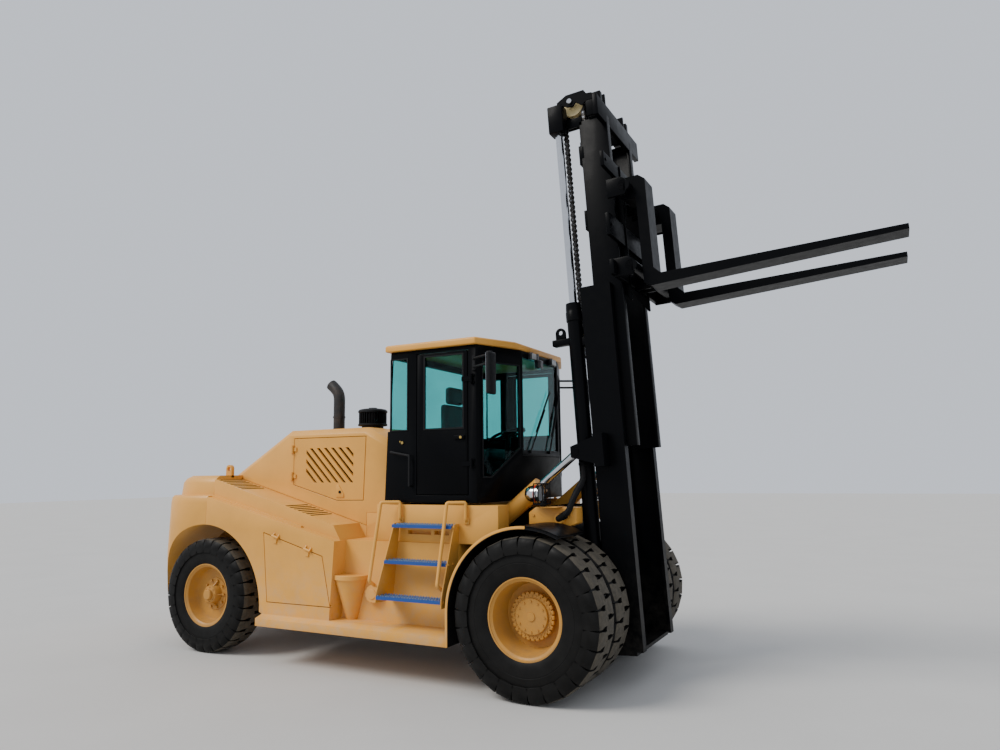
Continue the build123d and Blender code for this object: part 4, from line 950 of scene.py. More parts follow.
def cab_form(name, inset):
    """The cab's outer form drawn in on every side but the top."""
    form = slab(name, drawn_in(CAB_PLAN, inset), 1620 + inset, 3110)
    knee = 2060 + inset / 3
    toe = panel("toe", [(-300, knee), (-400 - inset, knee), (-570 - inset, 1620 + inset / 3),
                        (-570 - inset, 1580), (-300, 1580)], -1050, 1050)
    rear = panel("rear", [(-1760, 1600), (-1662 + inset, 1600), (-1596 + inset, 3130), (-1760, 3130)],
                 -1050, 1050)
    return shaped(form, [toe, rear])


def corner_cut(turn, points, start, reach):
    """An outline in a slanting corner panel, from start mm outside it and reach mm inward."""
    along = Vector((210, -turn * 550, 0)) / CORNER_RUN
    outward = Vector((550, turn * 210, 0)) / CORNER_RUN
    corner = at(-610, turn * 1000, 0)
    places = [corner + along * u * MM + Vector((0, 0, z * MM)) + outward * start * MM for u, z in points]
    return plate("corner_window", places, -outward * reach * MM)


CORNER_WINDOW = [(70, 2960), (70, 1850), (185, 1850), (CORNER_RUN - 25, 2130), (CORNER_RUN - 25, 2960)]


def window_cuts():
    cuts = [corner_cut(turn, CORNER_WINDOW, 20, 90) for turn in (-1, 1)]
    cuts.append(block("rear_window", -1760, -1385, -1020, 1020, 2315, 3040))
    cuts.append(block("windscreen", -470, -380, -425, 425, 2120, 3040))
    return cuts


def frame_of(name, points, width, y0, y1):
    """A rubber frame along an outline drawn from the side."""
    ring = panel(name, points, y0, y1)
    return shaped(ring, [panel("inside", drawn_in(points, width), min(y0, y1) - 20, max(y0, y1) + 20)])


class FORKLIFT_OT_cab(bpy.types.Operator):
    """Cab shell with slanting corner windows, roof, panes and rubber frames"""
    bl_idname = "forklift.cab"
    bl_label = "Cab"

    def execute(self, context):
        shell = cab_form("cab_dressed", 0)
        shaped(shell, [cab_form("inside", 45)] + window_cuts())
        shaped(shell, [block("doorway", -1285, -700, -1030, 1030, 1690, 3070)])
        soften(shell, 0.006, 2)
        fixed = []
        for turn in (-1, 1):
            for z in CAB_HINGES:
                fixed += hinge(CAB_HINGE_X, turn * 1019, z, ((-44, -23), (23, 44)),
                    (-668, -628, turn * 998, turn * 1012), True)
        fit(joined("cab_dressed", [shell] + fixed), "paint_black", ["cab"])

        glass = cab_form("cab_panes", 15)
        shaped(glass, [cab_form("inner_glass", 23)])
        windows = window_cuts()
        shaped(windows[0], windows[1:], "UNION")
        shaped(glass, [windows[0]], "INTERSECT")
        fit(glass, "glass", ["cab_glass"], angle=20)

        roof = slab("roof_dressed", [(-1641, -1040), (-600, -1040), (-400, -560), (-400, 560), (-600, 1040),
            (-1641, 1040)], 3112, 3170)
        editing(roof)
        choose_faces(roof, lambda place, normal: normal.z > 0.9)
        bpy.ops.mesh.inset(thickness=0.020)
        bpy.ops.transform.translate(value=(0, 0, 0.012))
        bpy.ops.object.mode_set(mode="OBJECT")
        soften(roof, 0.010, 3)
        fit(roof, "paint_sand", ["cab_roof"])

        rubber = []
        for turn in (-1, 1):
            y0, y1 = sorted((turn * 1004, turn * 984))
            rubber.append(frame_of("seal", SIDE_WINDOW, 12, y0, y1))
            seal = corner_cut(turn, CORNER_WINDOW, 5, 24)
            rubber.append(shaped(seal, [corner_cut(turn, drawn_in(CORNER_WINDOW, 14), 30, 80)]))
        fit(joined("window_seals", rubber), "plastic_black")
        return {"FINISHED"}


class FORKLIFT_OT_cab_doors(bpy.types.Operator):
    """Cab doors with pane, frame, handle and hinges"""
    bl_idname = "forklift.cab_doors"
    bl_label = "Cab doors"

    def execute(self, context):
        for name, turn in SIDES:
            inner, outer = sorted((turn * 955, turn * 1001))
            door = block("cab_door_dressed_" + name, -1279, -706, inner, outer, 1696, 3064)
            shaped(door, [panel("window", DOOR_WINDOW, inner - 30, outer + 30)])
            soften(door, 0.006, 2)
            parts = [door]
            for z in CAB_HINGES:
                parts += hinge(CAB_HINGE_X, turn * 1019, z, ((-22, 22),),
                    (-764, -655, turn * 999, turn * 1011))
            grip = block("grip", -850, -736, *sorted((turn * 1001, turn * 1023)), 2214, 2252)
            parts.append(soften(grip, 0.006, 2))
            for piece in parts:
                coat(piece, "paint_black")
            seal = frame_of("seal", DOOR_WINDOW, 14, *sorted((turn * 1004, turn * 984)))
            parts.append(coat(seal, "plastic_black"))
            lock = crossbar("lock", -770, turn * 1018, turn * 1026, 2233, 0.013, 20)
            parts.append(coat(lock, "gold"))
            mount(joined("cab_door_dressed_" + name, parts), "cab_door_" + name, ["cab_door_" + name])
            pane = panel("door_pane_" + name, DOOR_WINDOW, *sorted((turn * 985, turn * 977)))
            fit(pane, "glass", ["door_glass_" + name], body="cab_door_" + name)
        return {"FINISHED"}


class FORKLIFT_OT_cab_fittings(bpy.types.Operator):
    """Grab handles, lock, mirrors, lamps and wipers on the cab"""
    bl_idname = "forklift.cab_fittings"
    bl_label = "Cab fittings"

    def execute(self, context):
        black, chrome = [], []
        for turn in (-1, 1):
            y, out = turn * 1000, turn * 1040
            black.append(tube("grab", [at(*place) for place in ((-1560, y, 2110), (-1560, out, 2110),
                (-1560, out, 2110), (-1340, out, 2070), (-1340, out, 2070), (-1340, out, 1780),
                (-1340, out, 1780), (-1340, y, 1780))], 0.011, 3))
            foot = block("mirror_plate", -645, -612, *sorted((turn * 1000, turn * 1014)), 2860, 3000)
            black.append(soften(foot, 0.003, 1))
            for z in (2890, 2970):
                black.append(tube("mirror_arm", [at(-628, turn * 1012, z), at(-600, turn * 1040, z),
                    at(-390, turn * 1160, z), at(-350, turn * 1178, z)], 0.012, 3))
            ends = [at(-350, turn * 1180, z) for z in (2790, 3000)]
            black.append(bar("mirror_post", *ends, 0.014, 16))
            case = block("mirror_case", -372, -330, *sorted((turn * 1110, turn * 1250)), 2600, 2990)
            black.append(soften(case, 0.018, 4))
            face = block("mirror_face", -375, -371, *sorted((turn * 1122, turn * 1238)), 2614, 2976)
            chrome.append(soften(face, 0.001, 1))
        fit(joined("mirror_cases", black), "plastic_black", ["mirrors"])
        fit(joined("mirror_faces", chrome), "rod_chrome")

        lamps, lenses = [], []
        for y in (-250, 250):
            case = block("lamp_case", -400, -352, y - 62, y + 62, 3035, 3104)
            lamps.append(soften(case, 0.010, 3))
            lenses.append(soften(block("lamp_lens", -353, -348, y - 52, y + 52, 3044, 3095), 0.002, 1))
            lamps.append(block("lamp_foot", -398, -372, y - 16, y + 16, 3098, 3116))
        lamps.append(soften(block("dark_lamp", -394, -335, -160, -60, 2960, 3048), 0.012, 3))
        lamps.append(block("dark_foot", -398, -372, -126, -94, 3040, 3116))
        lamps.append(bar("dark_face", at(-336, -110, 3004), at(-331, -110, 3004), 0.034, 28))
        fit(joined("lamp_cases", lamps), "lamp", ["work_lamps"])
        fit(joined("lamp_lenses", lenses), "lens")

        wiper = []
        for foot_y, tip_y in ((-280, 60), (180, 380)):
            foot, tip = at(-392, foot_y, 2105), at(-386, tip_y, 2545)
            wiper.append(bar("wiper_arm", foot, tip, 0.008, 10))
            wiper.append(bar("wiper_pivot", at(-410, foot_y, 2105), at(-380, foot_y, 2105), 0.018, 16))
            blade = (tip - foot).normalized()
            wiper.append(bar("wiper_blade", tip - blade * 0.30 + Vector((-0.012, 0, 0)),
                tip + blade * 0.26 + Vector((-0.012, 0, 0)), 0.009, 8))
        fit(joined("wipers", wiper), "plastic_black")

        locks = [crossbar("side_lock", -1448, -999, -1010, 2200, 0.014, 20),
                 crossbar("key_slot", -1475, -999, -1006, 2212, 0.008, 16)]
        fit(joined("side_locks", locks), "gold")
        return {"FINISHED"}


class FORKLIFT_OT_seat(bpy.types.Operator):
    """Padded seat: cushion, back and headrest"""
    bl_idname = "forklift.seat"
    bl_label = "Seat"

    def execute(self, context):
        cushion = block("seat_cushion", -1385, -895, -265, 265, 2015, 2150)
        back = panel("seat_back", [(-1480, 2040), (-1370, 2040), (-1410, 2640), (-1490, 2640)], -255, 255)
        rest = block("headrest", -1500, -1415, -140, 140, 2650, 2840)
        pads = []
        for piece, width in ((cushion, 0.045), (back, 0.035), (rest, 0.035)):
            soften(piece, width, 3)
            editing(piece)
            bpy.ops.mesh.select_all(action="SELECT")
            bpy.ops.mesh.subdivide(number_cuts=2)
            bpy.ops.object.mode_set(mode="OBJECT")
            modifier(piece, "SUBSURF", levels=1, render_levels=1)
            pads.append(piece)
        seat = joined("seat_dressed", pads)
        fit(seat, "seat_vinyl", ["seat"], angle=60)
        return {"FINISHED"}


# Mast


WHEEL_OUT, WHEEL_UP, WHEEL_RADIUS = 60, 4905, 92
CYLINDER_OUT, CYLINDER_Y = -80, 438


def channel(name, front, rear, half, web, flange, foot, top):
    """One rail with its web outside and its flanges pointing inward."""
    thick = 32
    section = [(front, -half), (rear, -half), (rear, -half + flange), (rear + thick, -half + flange),
               (rear + thick, -half + web), (front - thick, -half + web), (front - thick, -half + flange),
               (front, -half + flange)]
    return plate(name, [on_mast(out, y, foot) for out, y in section], MAST_UP * (top - foot) * MM)


def beam(out0, out1, y0, y1, up0, up1, edge=0.004):
    return soften(block("beam", out0, out1, y0, y1, up0, up1, on_mast), edge, 2)


class FORKLIFT_OT_inner_mast(bpy.types.Operator):
    """Inner mast with its head: cheeks, chain wheel brackets, rod heads and crossbeam"""
    bl_idname = "forklift.inner_mast"
    bl_label = "Inner mast"

    def execute(self, context):
        near = [soften(channel("inner_mast_dressed", 415, 125, 400, 26, 90, 1412, 4690), 0.005, 2)]
        near.append(beam(-60, 385, -296, -270, 4680, 4965))
        near.append(beam(225, 385, -432, -374, 4712, 4940))
        near.append(beam(-60, 160, -400, -376, 4650, 4745))
        near.append(beam(-160, 0, -520, -376, 4590, 4880, 0.012))
        bracket = [(-140, 38), (-36, 92), (156, 92), (180, 49), (240, 40), (240, -30), (180, -30),
            (125, -66), (62, -15), (40, -42), (-35, -42), (-60, -20), (-120, -88), (-140, -80)]
        outline = [(WHEEL_OUT + out, WHEEL_UP + up) for out, up in bracket]
        near.append(soften(panel("bracket", outline, -436, -421, on_mast), 0.003, 1))
        near.append(crossbar("roller", 176, -405, -467, 1562, 0.1177, 40, on_mast))
        near.append(crossbar("roller_pin", 176, -380, -420, 1562, 0.040, 24, on_mast))
        near.append(beam(118, 150, -404, -398, 4300, 4420))
        rails = twins(joined("inner_mast_dressed", near))
        levels = ((1430, 1570), (2600, 2740), (3560, 3760), (4240, 4440))
        across = [beam(95, 126, -390, 390, up0, up1) for up0, up1 in levels]
        across.append(beam(365, 415, -640, 640, 4590, 4800, 0.006))
        rails = joined("inner_mast_dressed", [rails] + across)
        fit(rails, "paint_black", ["inner_mast"], body="mast_inner")

        bright = []
        section = [(0, 0.0), (0, 0.021), (0.006, 0.026), (0.016, 0.026), (0.019, 0.022), (0.019, 0)]
        for turn in (-1, 1):
            middle = on_mast(WHEEL_OUT, turn * 436, WHEEL_UP + 12)
            bright.append(turned("pin_head", section, middle, (0, turn, 0), 24))
        fit(joined("wheel_pins", bright), "rod_chrome", body="mast_inner")
        return {"FINISHED"}


class FORKLIFT_OT_chain_wheels(bpy.types.Operator):
    """Cast chain wheels with grooves, rims and bored discs"""
    bl_idname = "forklift.chain_wheels"
    bl_label = "Chain wheels"

    def execute(self, context):
        section = [(-0.042, 0.030), (-0.042, 0.136), (-0.036, 0.140), (-0.030, 0.136), (-0.026, 0.118),
            (0.026, 0.118), (0.030, 0.140), (0.036, 0.148), (0.044, 0.146), (0.046, 0.128), (0.040, 0.120),
            (0.040, 0.060), (0.050, 0.052), (0.050, 0.030), (-0.042, 0.030)]
        narrow = [(along * 0.8, radius * 0.78) for along, radius in section]
        wheel = turned("chain_wheels_dressed", narrow, on_mast(WHEEL_OUT, -332, WHEEL_UP), (0, -1, 0), 64)
        fit(twins(wheel), "wheel_cream", ["chain_wheels"], body="mast_inner", angle=25)
        pins = [crossbar("wheel_shaft", WHEEL_OUT, turn * 270, turn * 440, WHEEL_UP, 0.024, 24, on_mast)
                for turn in (-1, 1)]
        fit(joined("wheel_shafts", pins), "cast_black", body="mast_inner")
        return {"FINISHED"}


CHAIN_PITCH = 50.8
CHAIN_RADIUS = WHEEL_RADIUS + 12
CHAIN_FOOT_UP, CHAIN_END_UP = 2590, 4090
CHAIN_MIDDLES = (350, 312)
CHAIN_REAR_OUT = WHEEL_OUT - CHAIN_RADIUS


def chain_place(station):
    """Place along the chain, from the rear anchor over the wheel to the carriage."""
    rear, bend = WHEEL_UP - CHAIN_FOOT_UP, math.pi * CHAIN_RADIUS
    if station < rear:
        return CHAIN_REAR_OUT, CHAIN_FOOT_UP + station
    if station < rear + bend:
        turn = math.pi - (station - rear) / CHAIN_RADIUS
        return WHEEL_OUT + CHAIN_RADIUS * math.cos(turn), WHEEL_UP + CHAIN_RADIUS * math.sin(turn)
    return WHEEL_OUT + CHAIN_RADIUS, WHEEL_UP - (station - rear - bend)


def in_metres(x, y, z):
    return Vector((x, y, z)) * MM


def placed(seed, matrix):
    """A copy of the seed with its own mesh."""
    one = seed.copy()
    one.data = seed.data.copy()
    bpy.context.collection.objects.link(one)
    one.matrix_world = matrix
    return one


class FORKLIFT_OT_chains(bpy.types.Operator):
    """Leaf chains over the wheels, link by link, with their anchors"""
    bl_idname = "forklift.chains"
    bl_label = "Lift chains"

    def execute(self, context):
        pitch = CHAIN_PITCH
        link_line = (arc(0, 0, 22, 60, 300, 5) + [(pitch / 2, -11)] + arc(pitch, 0, 22, 240, 480, 5)
                     + [(pitch / 2, 11)])
        length = (WHEEL_UP - CHAIN_FOOT_UP) + math.pi * CHAIN_RADIUS + (WHEEL_UP - CHAIN_END_UP)
        links = int(length / pitch)
        plates, pins = [], []
        for middle in CHAIN_MIDDLES:
            for row, (y0, y1) in enumerate(((-12, -8), (-7, -3), (-2, 2), (3, 7), (8, 12))):
                link = panel("link", link_line, y0 - middle, y1 - middle, in_metres)
                for count in range(row % 2, links - 1, 2):
                    out, up = chain_place(count * pitch)
                    out_b, up_b = chain_place((count + 1) * pitch)
                    turn = math.atan2(up_b - up, out_b - out)
                    lie = Matrix.Rotation(-LEAN - turn, 4, "Y")
                    plates.append(placed(link, Matrix.Translation(on_mast(out, 0, up)) @ lie))
                bpy.data.objects.remove(link)
            for count in range(links):
                out, up = chain_place(count * pitch)
                pins.append(Matrix.Translation(on_mast(out, -middle, up)))
        chain = joined("lift_chains_dressed", plates)
        settle(chain)
        seed = bar("chain_pins", (0, -0.0125, 0), (0, 0.0125, 0), 0.0085, 10)
        rods = [placed(seed, matrix) for matrix in pins]
        bpy.data.objects.remove(seed)
        rods = settle(joined("chain_pins", rods))
        fit(twins(chain), "chain_steel", ["lift_chains"], body="mast_inner")
        fit(twins(rods), "rod_chrome", body="mast_inner")

        anchors, studs = [], []
        for turn in (-1, 1):
            for middle in CHAIN_MIDDLES:
                y0, y1 = sorted((turn * (middle - 11), turn * (middle + 11)))
                out, y = CHAIN_REAR_OUT, turn * middle
                clevis = block("clevis", out - 24, out + 24, y0, y1, 2490, 2612, on_mast)
                anchors.append(soften(clevis, 0.006, 2))
                studs.append(bar("stud", on_mast(out, y, 2330), on_mast(out, y, 2500), 0.010, 16))
                for up in (2360, 2392):
                    studs.append(bar("nut", on_mast(out, y, up), on_mast(out, y, up + 24), 0.013, 6))
        fit(joined("chain_anchors", anchors), "wheel_cream", body="mast_outer")
        fit(joined("anchor_studs", studs), "rod_chrome", body="mast_outer")
        holders = []
        for turn in (-1, 1):
            y0, y1 = sorted((turn * 298, turn * 361))
            holders.append(beam(CHAIN_REAR_OUT - 35, 58, y0, y1, 2420, 2462))
        fit(joined("anchor_beams", holders), "paint_black", body="mast_outer")
        return {"FINISHED"}


class FORKLIFT_OT_lift_cylinders(bpy.types.Operator):
    """Lift cylinders with glands, brackets and lifting eyes, and their chromed rods"""
    bl_idname = "forklift.lift_cylinders"
    bl_label = "Lift cylinders"

    def execute(self, context):
        section = [(0, 0), (0, 0.074), (3.010, 0.074), (3.014, 0.082), (3.100, 0.082), (3.106, 0.078),
            (3.130, 0.078), (3.190, 0.074), (3.190, 0.0388), (0.40, 0.0388), (0.40, 0)]
        near = [turned("lift_barrels_dressed", section, on_mast(CYLINDER_OUT, -CYLINDER_Y, -360), MAST_UP,
                       48)]
        for up in (100, 1300, 2400):
            near.append(beam(CYLINDER_OUT + 64, 26, -CYLINDER_Y - 30, -CYLINDER_Y + 30, up, up + 80))
        near.append(beam(-318, CYLINDER_OUT - 50, -485, -395, 2430, 2495, 0.010))
        eye = panel("eye", arc(-222, 2550, 52, 0, 180, 20) + [(-274, 2490), (-170, 2490)], -485, -459,
                    on_mast)
        shaped(eye, [crossbar("hole", -222, -500, -440, 2555, 0.021, 24, on_mast)])
        near.append(soften(eye, 0.004, 2))
        near.append(beam(CYLINDER_OUT - 30, CYLINDER_OUT + 30, -CYLINDER_Y - 140, -CYLINDER_Y - 65, 1262,
                         1288, 0.004))
        barrels = twins(joined("lift_barrels_dressed", near))
        fit(barrels, "paint_black", ["lift_barrels"], body="mast_outer")
        rods = []
        for turn in (-1, 1):
            ends = [on_mast(CYLINDER_OUT, turn * CYLINDER_Y, up) for up in (1432, 4592)]
            rods.append(bar("lift_rods_dressed", *ends, 0.038, 48))
        fit(joined("lift_rods_dressed", rods), "rod_chrome", ["lift_rods"], body="mast_inner", angle=30)
        return {"FINISHED"}


# Ladder, mudguards, lamps, hose, stack and air cleaner


CHEEK_ENDS = ((-1475, -1556), (-803, -832))
CHEEK_SLANT = ((-1100, 1440), (-1285, 800), (-1285, 690), (-1400, 690), (-1400, 1440))
TREAD_LEVELS = ((1428, -1145), (1098, -1215), (778, -1290))


def cheek_x(ends, z):
    return ends[0] + (ends[1] - ends[0]) * (1430 - z) / 730


class FORKLIFT_OT_ladder(bpy.types.Operator):
    """Ladder cheeks, blue treads with rows of teeth, and the bent handrails"""
    bl_idname = "forklift.ladder"
    bl_label = "Ladder"

    def execute(self, context):
        cheeks = []
        for top, foot in CHEEK_ENDS:
            line = [(top, 1430), (top + 12, 1430), (foot + 12, 700), (foot, 700)]
            cheek = panel("cheek", line, -1290, -1012)
            slant = plate("slant", [at(-1700, *place) for place in CHEEK_SLANT], (1000 * MM, 0, 0))
            cheeks.append(soften(shaped(cheek, [slant]), 0.003, 1))
        for z, front in TREAD_LEVELS:
            for top, foot in CHEEK_ENDS:
                x = cheek_x((top, foot), z - 20)
                for y in (front + 35, front + 105):
                    cheeks.append(bar("bolt", at(x - 6, y, z - 24), at(x + 18, y, z - 24), 0.011, 6))
        fit(twins(joined("ladder_cheeks", cheeks)), "paint_sand", ["steps"])

        treads, teeth = [], []
        for z, front in TREAD_LEVELS:
            rear_end, front_end = cheek_x(CHEEK_ENDS[0], z - 20) + 12, cheek_x(CHEEK_ENDS[1], z - 20)
            treads.append(block("front_lip", rear_end, front_end, front, front + 4, z - 38, z - 8))
            treads.append(block("rear_lip", rear_end, front_end, front + 141, front + 145, z - 38, z - 8))
            treads.append(block("plate", rear_end, front_end, front + 4, front + 141, z - 16, z - 12))
            count = int((front_end - rear_end - 20) / 30)
            for step in range(count):
                x = rear_end + 20 + step * 30
                for row in range(3):
                    y = front + 3 + row * 64 + (step % 2) * 6
                    tooth = [(x - 5, z - 10), (x + 5, z - 10), (x + 3, z + 2), (x - 3, z + 2)]
                    teeth.append(panel("tooth", tooth, y, y + 9))
        # The teeth are coated lighter than the treads: worn steel, and a painted highlight.
        fit(twins(joined("tread_teeth", teeth)), "tooth_steel", angle=20)
        tread = joined("treads_dressed", treads)
        fit(twins(tread), "tread_blue", ["treads"], angle=20)

        rails = []
        for inner, outer, end in ((-1450, -1615, -1530), (-712, -862, -820)):
            corners = [at(inner, -1000, 1452), at(inner, -1032, 1470), at(inner, -1032, 1625),
                at(outer, -1120, 1625), at(outer, -1290, 900), at(outer, -1200, 848), at(end, -1200, 848)]
            route = []
            for before, corner, after in zip(corners, corners[1:], corners[2:]):
                route.append(corner + (before - corner).normalized() * min(0.045,
                    (before - corner).length / 2.2))
                route.append(corner)
                route.append(corner + (after - corner).normalized() * min(0.045,
                    (after - corner).length / 2.2))
            rails.append(tube("handrail", [corners[0]] + route + [corners[-1]], 0.017, 4))
            rails.append(soften(block("foot", inner - 26, inner + 26, -1016, -1000, 1425, 1480), 0.003, 1))
        fit(twins(joined("handrails_dressed", rails)), "paint_sand", ["handrails"], angle=50)
        return {"FINISHED"}


DRIVE_AXLE_UP = 678
ARCH_RADIUS = 767


class FORKLIFT_OT_mudguards(bpy.types.Operator):
    """Mudguards over the twin wheels, black inside with a narrow rolled lip"""
    bl_idname = "forklift.mudguards"
    bl_label = "Mudguards"

    def execute(self, context):
        def strip(name, inner, outer, y0, y1, first=64):
            line = (arc(0, DRIVE_AXLE_UP, outer, first, 180, 40) + [(-outer, 385), (-inner, 385)]
                    + arc(0, DRIVE_AXLE_UP, inner, 180, first, 40))
            return panel(name, line, y0, y1)

        skin = strip("mudguards_dressed", 756, 766, -1306, -745)
        lip = strip("lip", 742, ARCH_RADIUS, -1312, -1300, 88)
        lining = strip("mudguard_lining", 746, 756, -1300, -745)
        inner_lip = strip("inner_lip", 738, 745, -1311, -1303)
        coat(skin, "paint_black")
        coat(soften(lip, 0.003, 2), "paint_sand")
        mount(twins(joined("mudguards_dressed", [lip, skin])), "chassis", ["mudguards"], 25)
        fit(twins(joined("mudguard_lining", [lining, inner_lip])), "plastic_black", angle=25)
        return {"FINISHED"}


LAMP_MIDDLE = (-770, 1700)
GUARD_SIDES, GUARD_ENDS = (-862, -694), (1608, 1792)
GUARD_DEPTHS = (-96, -52, -8)


class FORKLIFT_OT_headlamps(bpy.types.Operator):
    """Boxes in front of the cab, chromed lamp bowls, lenses and their wire guards"""
    bl_idname = "forklift.headlamps"
    bl_label = "Headlamps"

    def execute(self, context):
        parts = [panel("front_boxes", [(-240, 1405), (-240, 1525), (-168, 1575), (240, 1575), (240, 1430),
            (160, 1400)], -672, -512)]
        soften(parts[0], 0.010, 2)
        parts.append(soften(block("lamp_plate", -60, 100, -800, -600, 1575, 1583), 0.002, 1))
        parts.append(turned("boss", [(0, 0.050), (0.050, 0.045), (0.054, 0.036), (0.054, 0)],
            at(83, -670, 1473), (0, -1, 0), 40))
        for x in (-190, 190):
            parts.append(crossbar("bolt", x, -672, -681, 1500, 0.013, 6))
        fit(twins(joined("front_boxes", parts)), "paint_sand")

        black, chrome, lens, red = [], [], [], []
        bowl = [(-0.215, 0), (-0.215, 0.030), (-0.205, 0.052), (-0.180, 0.068), (-0.140, 0.078),
            (-0.062, 0.080), (-0.062, 0.074), (-0.136, 0.072), (-0.136, 0)]
        chrome.append(turned("bowl", bowl, at(0, *LAMP_MIDDLE), (1, 0, 0), 48))
        lens.append(turned("lens", [(-0.080, 0), (-0.074, 0.040), (-0.084, 0.073), (-0.092, 0.073),
            (-0.092, 0)], at(0, *LAMP_MIDDLE), (1, 0, 0), 48))
        red.append(turned("band", [(-0.112, 0.0815), (-0.100, 0.0815), (-0.100, 0.076), (-0.112, 0.076),
            (-0.112, 0.0815)], at(0, *LAMP_MIDDLE), (1, 0, 0), 48))
        black.append(block("bracket", -60, -30, -795, -745, 1583, 1640))
        (left, right), (low, high) = GUARD_SIDES, GUARD_ENDS
        back, _, front = GUARD_DEPTHS
        corners = [(left, low), (right, low), (right, high), (left, high)]
        for x in GUARD_DEPTHS:
            for start, end in zip(corners, corners[1:] + corners[:1]):
                black.append(bar("wire", at(x, *start), at(x, *end), 0.0055, 8))
        for corner in corners:
            black.append(bar("wire", at(back, *corner), at(front, *corner), 0.0055, 8))
        for step in range(1, 4):
            z, y = low + step * 46, left + step * 42
            black.append(crossbar("wire", front, left, right, z, 0.004, 8))
            black.append(bar("wire", at(front, y, low), at(front, y, high), 0.004, 8))
        black.append(block("guard_foot", -60, -20, -790, -750, 1578, 1612))
        guards = coat(twins(joined("lamp_guards", black)), "cast_black")
        mount(guards, "chassis", ["headlamps"])
        fit(twins(joined("lamp_bowls", chrome)), "rod_chrome")
        fit(twins(joined("headlamp_lenses", lens)), "lens")
        fit(twins(joined("lamp_bands", red)), "red")
        return {"FINISHED"}


class FORKLIFT_OT_stack(bpy.types.Operator):
    """Exhaust stack bent to the rear, and the air cleaner's finned head"""
    bl_idname = "forklift.stack"
    bl_label = "Stack and air cleaner"

    def execute(self, context):
        foot = at(-2890, -240, 2395)
        rise = [foot + Vector((back, 0, up)) for back, up in (
            (0, 0), (0, 0.12), (0, 0.30), (0, 0.42), (-0.045, 0.50), (-0.125, 0.560))]
        pipe = tube("exhaust_dressed", rise, 0.066, 8)
        bore = bar("bore", rise[-1] + Vector((0.06, 0, -0.045)), rise[-1] + Vector((-0.05, 0, 0.0375)),
                   0.058, 32)
        shaped(pipe, [bore])
        collar = turned("collar", [(0, 0.069), (0.002, 0.092), (0.012, 0.092), (0.030, 0.072),
            (0.030, 0.060), (0, 0.060)], foot + Vector((0, 0, 0.004)), (0, 0, 1), 40)
        clamp = turned("clamp", [(0, 0.066), (0, 0.072), (0.020, 0.072), (0.020, 0.066)], foot
                       + Vector((0, 0, 0.16)), (0, 0, 1), 40)
        fit(joined("exhaust_dressed", [pipe, collar, clamp]), "exhaust_steel", ["exhaust"], angle=50)

        centre = at(-2400, -240, 0)
        body = turned("precleaner_dressed", [(2.398, 0), (2.398, 0.118), (2.405, 0.122), (2.440, 0.122),
            (2.442, 0.160), (2.446, 0.165), (2.462, 0.165), (2.466, 0.160), (2.468, 0.108), (2.588, 0.108),
            (2.590, 0.158), (2.594, 0.166), (2.612, 0.166), (2.628, 0.150), (2.636, 0.110), (2.640, 0.050),
            (2.650, 0.046), (2.652, 0.0)], centre, (0, 0, 1), 64)
        fin = cube("fin", centre + Vector((0.140, 0, 2.528)), (0.034, 0.006, 0.122))
        ring_of(fin, 32, centre, (0, 0, 1))
        fit(joined("precleaner_dressed", [body, fin]), "plastic_black", ["precleaner"])
        return {"FINISHED"}


RIB_PITCH = 0.012


class FORKLIFT_OT_hose(bpy.types.Operator):
    """Ribbed hose from the right front box up to the clamp on the lift cylinder"""
    bl_idname = "forklift.hose"
    bl_label = "Mast hose"

    def execute(self, context):
        clamp = on_mast(-80, -541, 1262)
        rise = math.radians(30)
        away = Vector((math.cos(rise), 0, math.sin(rise)))
        start = at(83, -708, 1473) + away * 0.030
        route = [start, start + away * 0.075, at(205, -708, 1606), at(246, -668, 1722),
            clamp - MAST_UP * 0.13, clamp, on_mast(-80, -541, 1290)]
        hose = smooth_line("mast_hose", route)
        hose.data.resolution_u = 24
        bpy.context.view_layer.update()
        sampled = bpy.data.meshes.new_from_object(hose)
        places = [vert.co.copy() for vert in sampled.vertices]
        bpy.data.objects.remove(hose)

        core = tube("mast_hose", route, 0.0275, 8)
        ribs = []
        walked, target = 0.0, RIB_PITCH
        for before, after in zip(places, places[1:]):
            run = (after - before).length
            while walked + run >= target:
                spot = before + (after - before) * ((target - walked) / run)
                ribs.append((spot, (after - before).normalized()))
                target += RIB_PITCH
            walked += run
        rings = []
        for spot, way in ribs:
            deselect()
            bpy.ops.mesh.primitive_torus_add(major_radius=0.0262, minor_radius=0.0042, major_segments=20,
                minor_segments=6, location=spot, rotation=way.to_track_quat("Z", "Y").to_euler())
            rings.append(settle(active("rib")))
        piece = joined("mast_hose", [core] + rings)
        smooth(coat(piece, "plastic_black"), 50)
        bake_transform(piece)
        elbow = tube("hose_elbow", [at(83, -700, 1473), at(83, -708, 1473), start, start + away * 0.045],
                     0.035, 6)
        fit(elbow, "cast_black", angle=50)
        return {"FINISHED"}


# Rims, hubs and the load end's plates


OUTWARD = (0, -1, 0)
OUTER_RIM_Y, INNER_RIM_Y, STEER_RIM_Y = -1.130, -0.722, -1.005
SHAFT_OUT, SHAFT_UP, SHAFT_HALF, SHAFT_RADIUS = 600, 3800, 700, 0.055
ROLLER_LEVELS = (3290, 3940)


def wheel_spot(node, along):
    low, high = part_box(node)
    return Vector(((low[0] + high[0]) / 2, along, (low[2] + high[2]) / 2))


def bolt_ring(centre, start, end, count, ring, radius):
    """Bolt heads round a wheel's middle, on the side that faces outward."""
    head = bar("bolt", centre + Vector((ring, start, 0)), centre + Vector((ring, end, 0)), radius, 6)
    return ring_of(head, count, centre)


def finish_wheel(near, node, body):
    """Mounts the right wheel's piece and its mirror image on the left."""
    far = mirrored(near, near.name.replace("right", "left"))
    for piece, name in ((near, "right"), (far, "left")):
        mount(piece, body + name, [node + name])


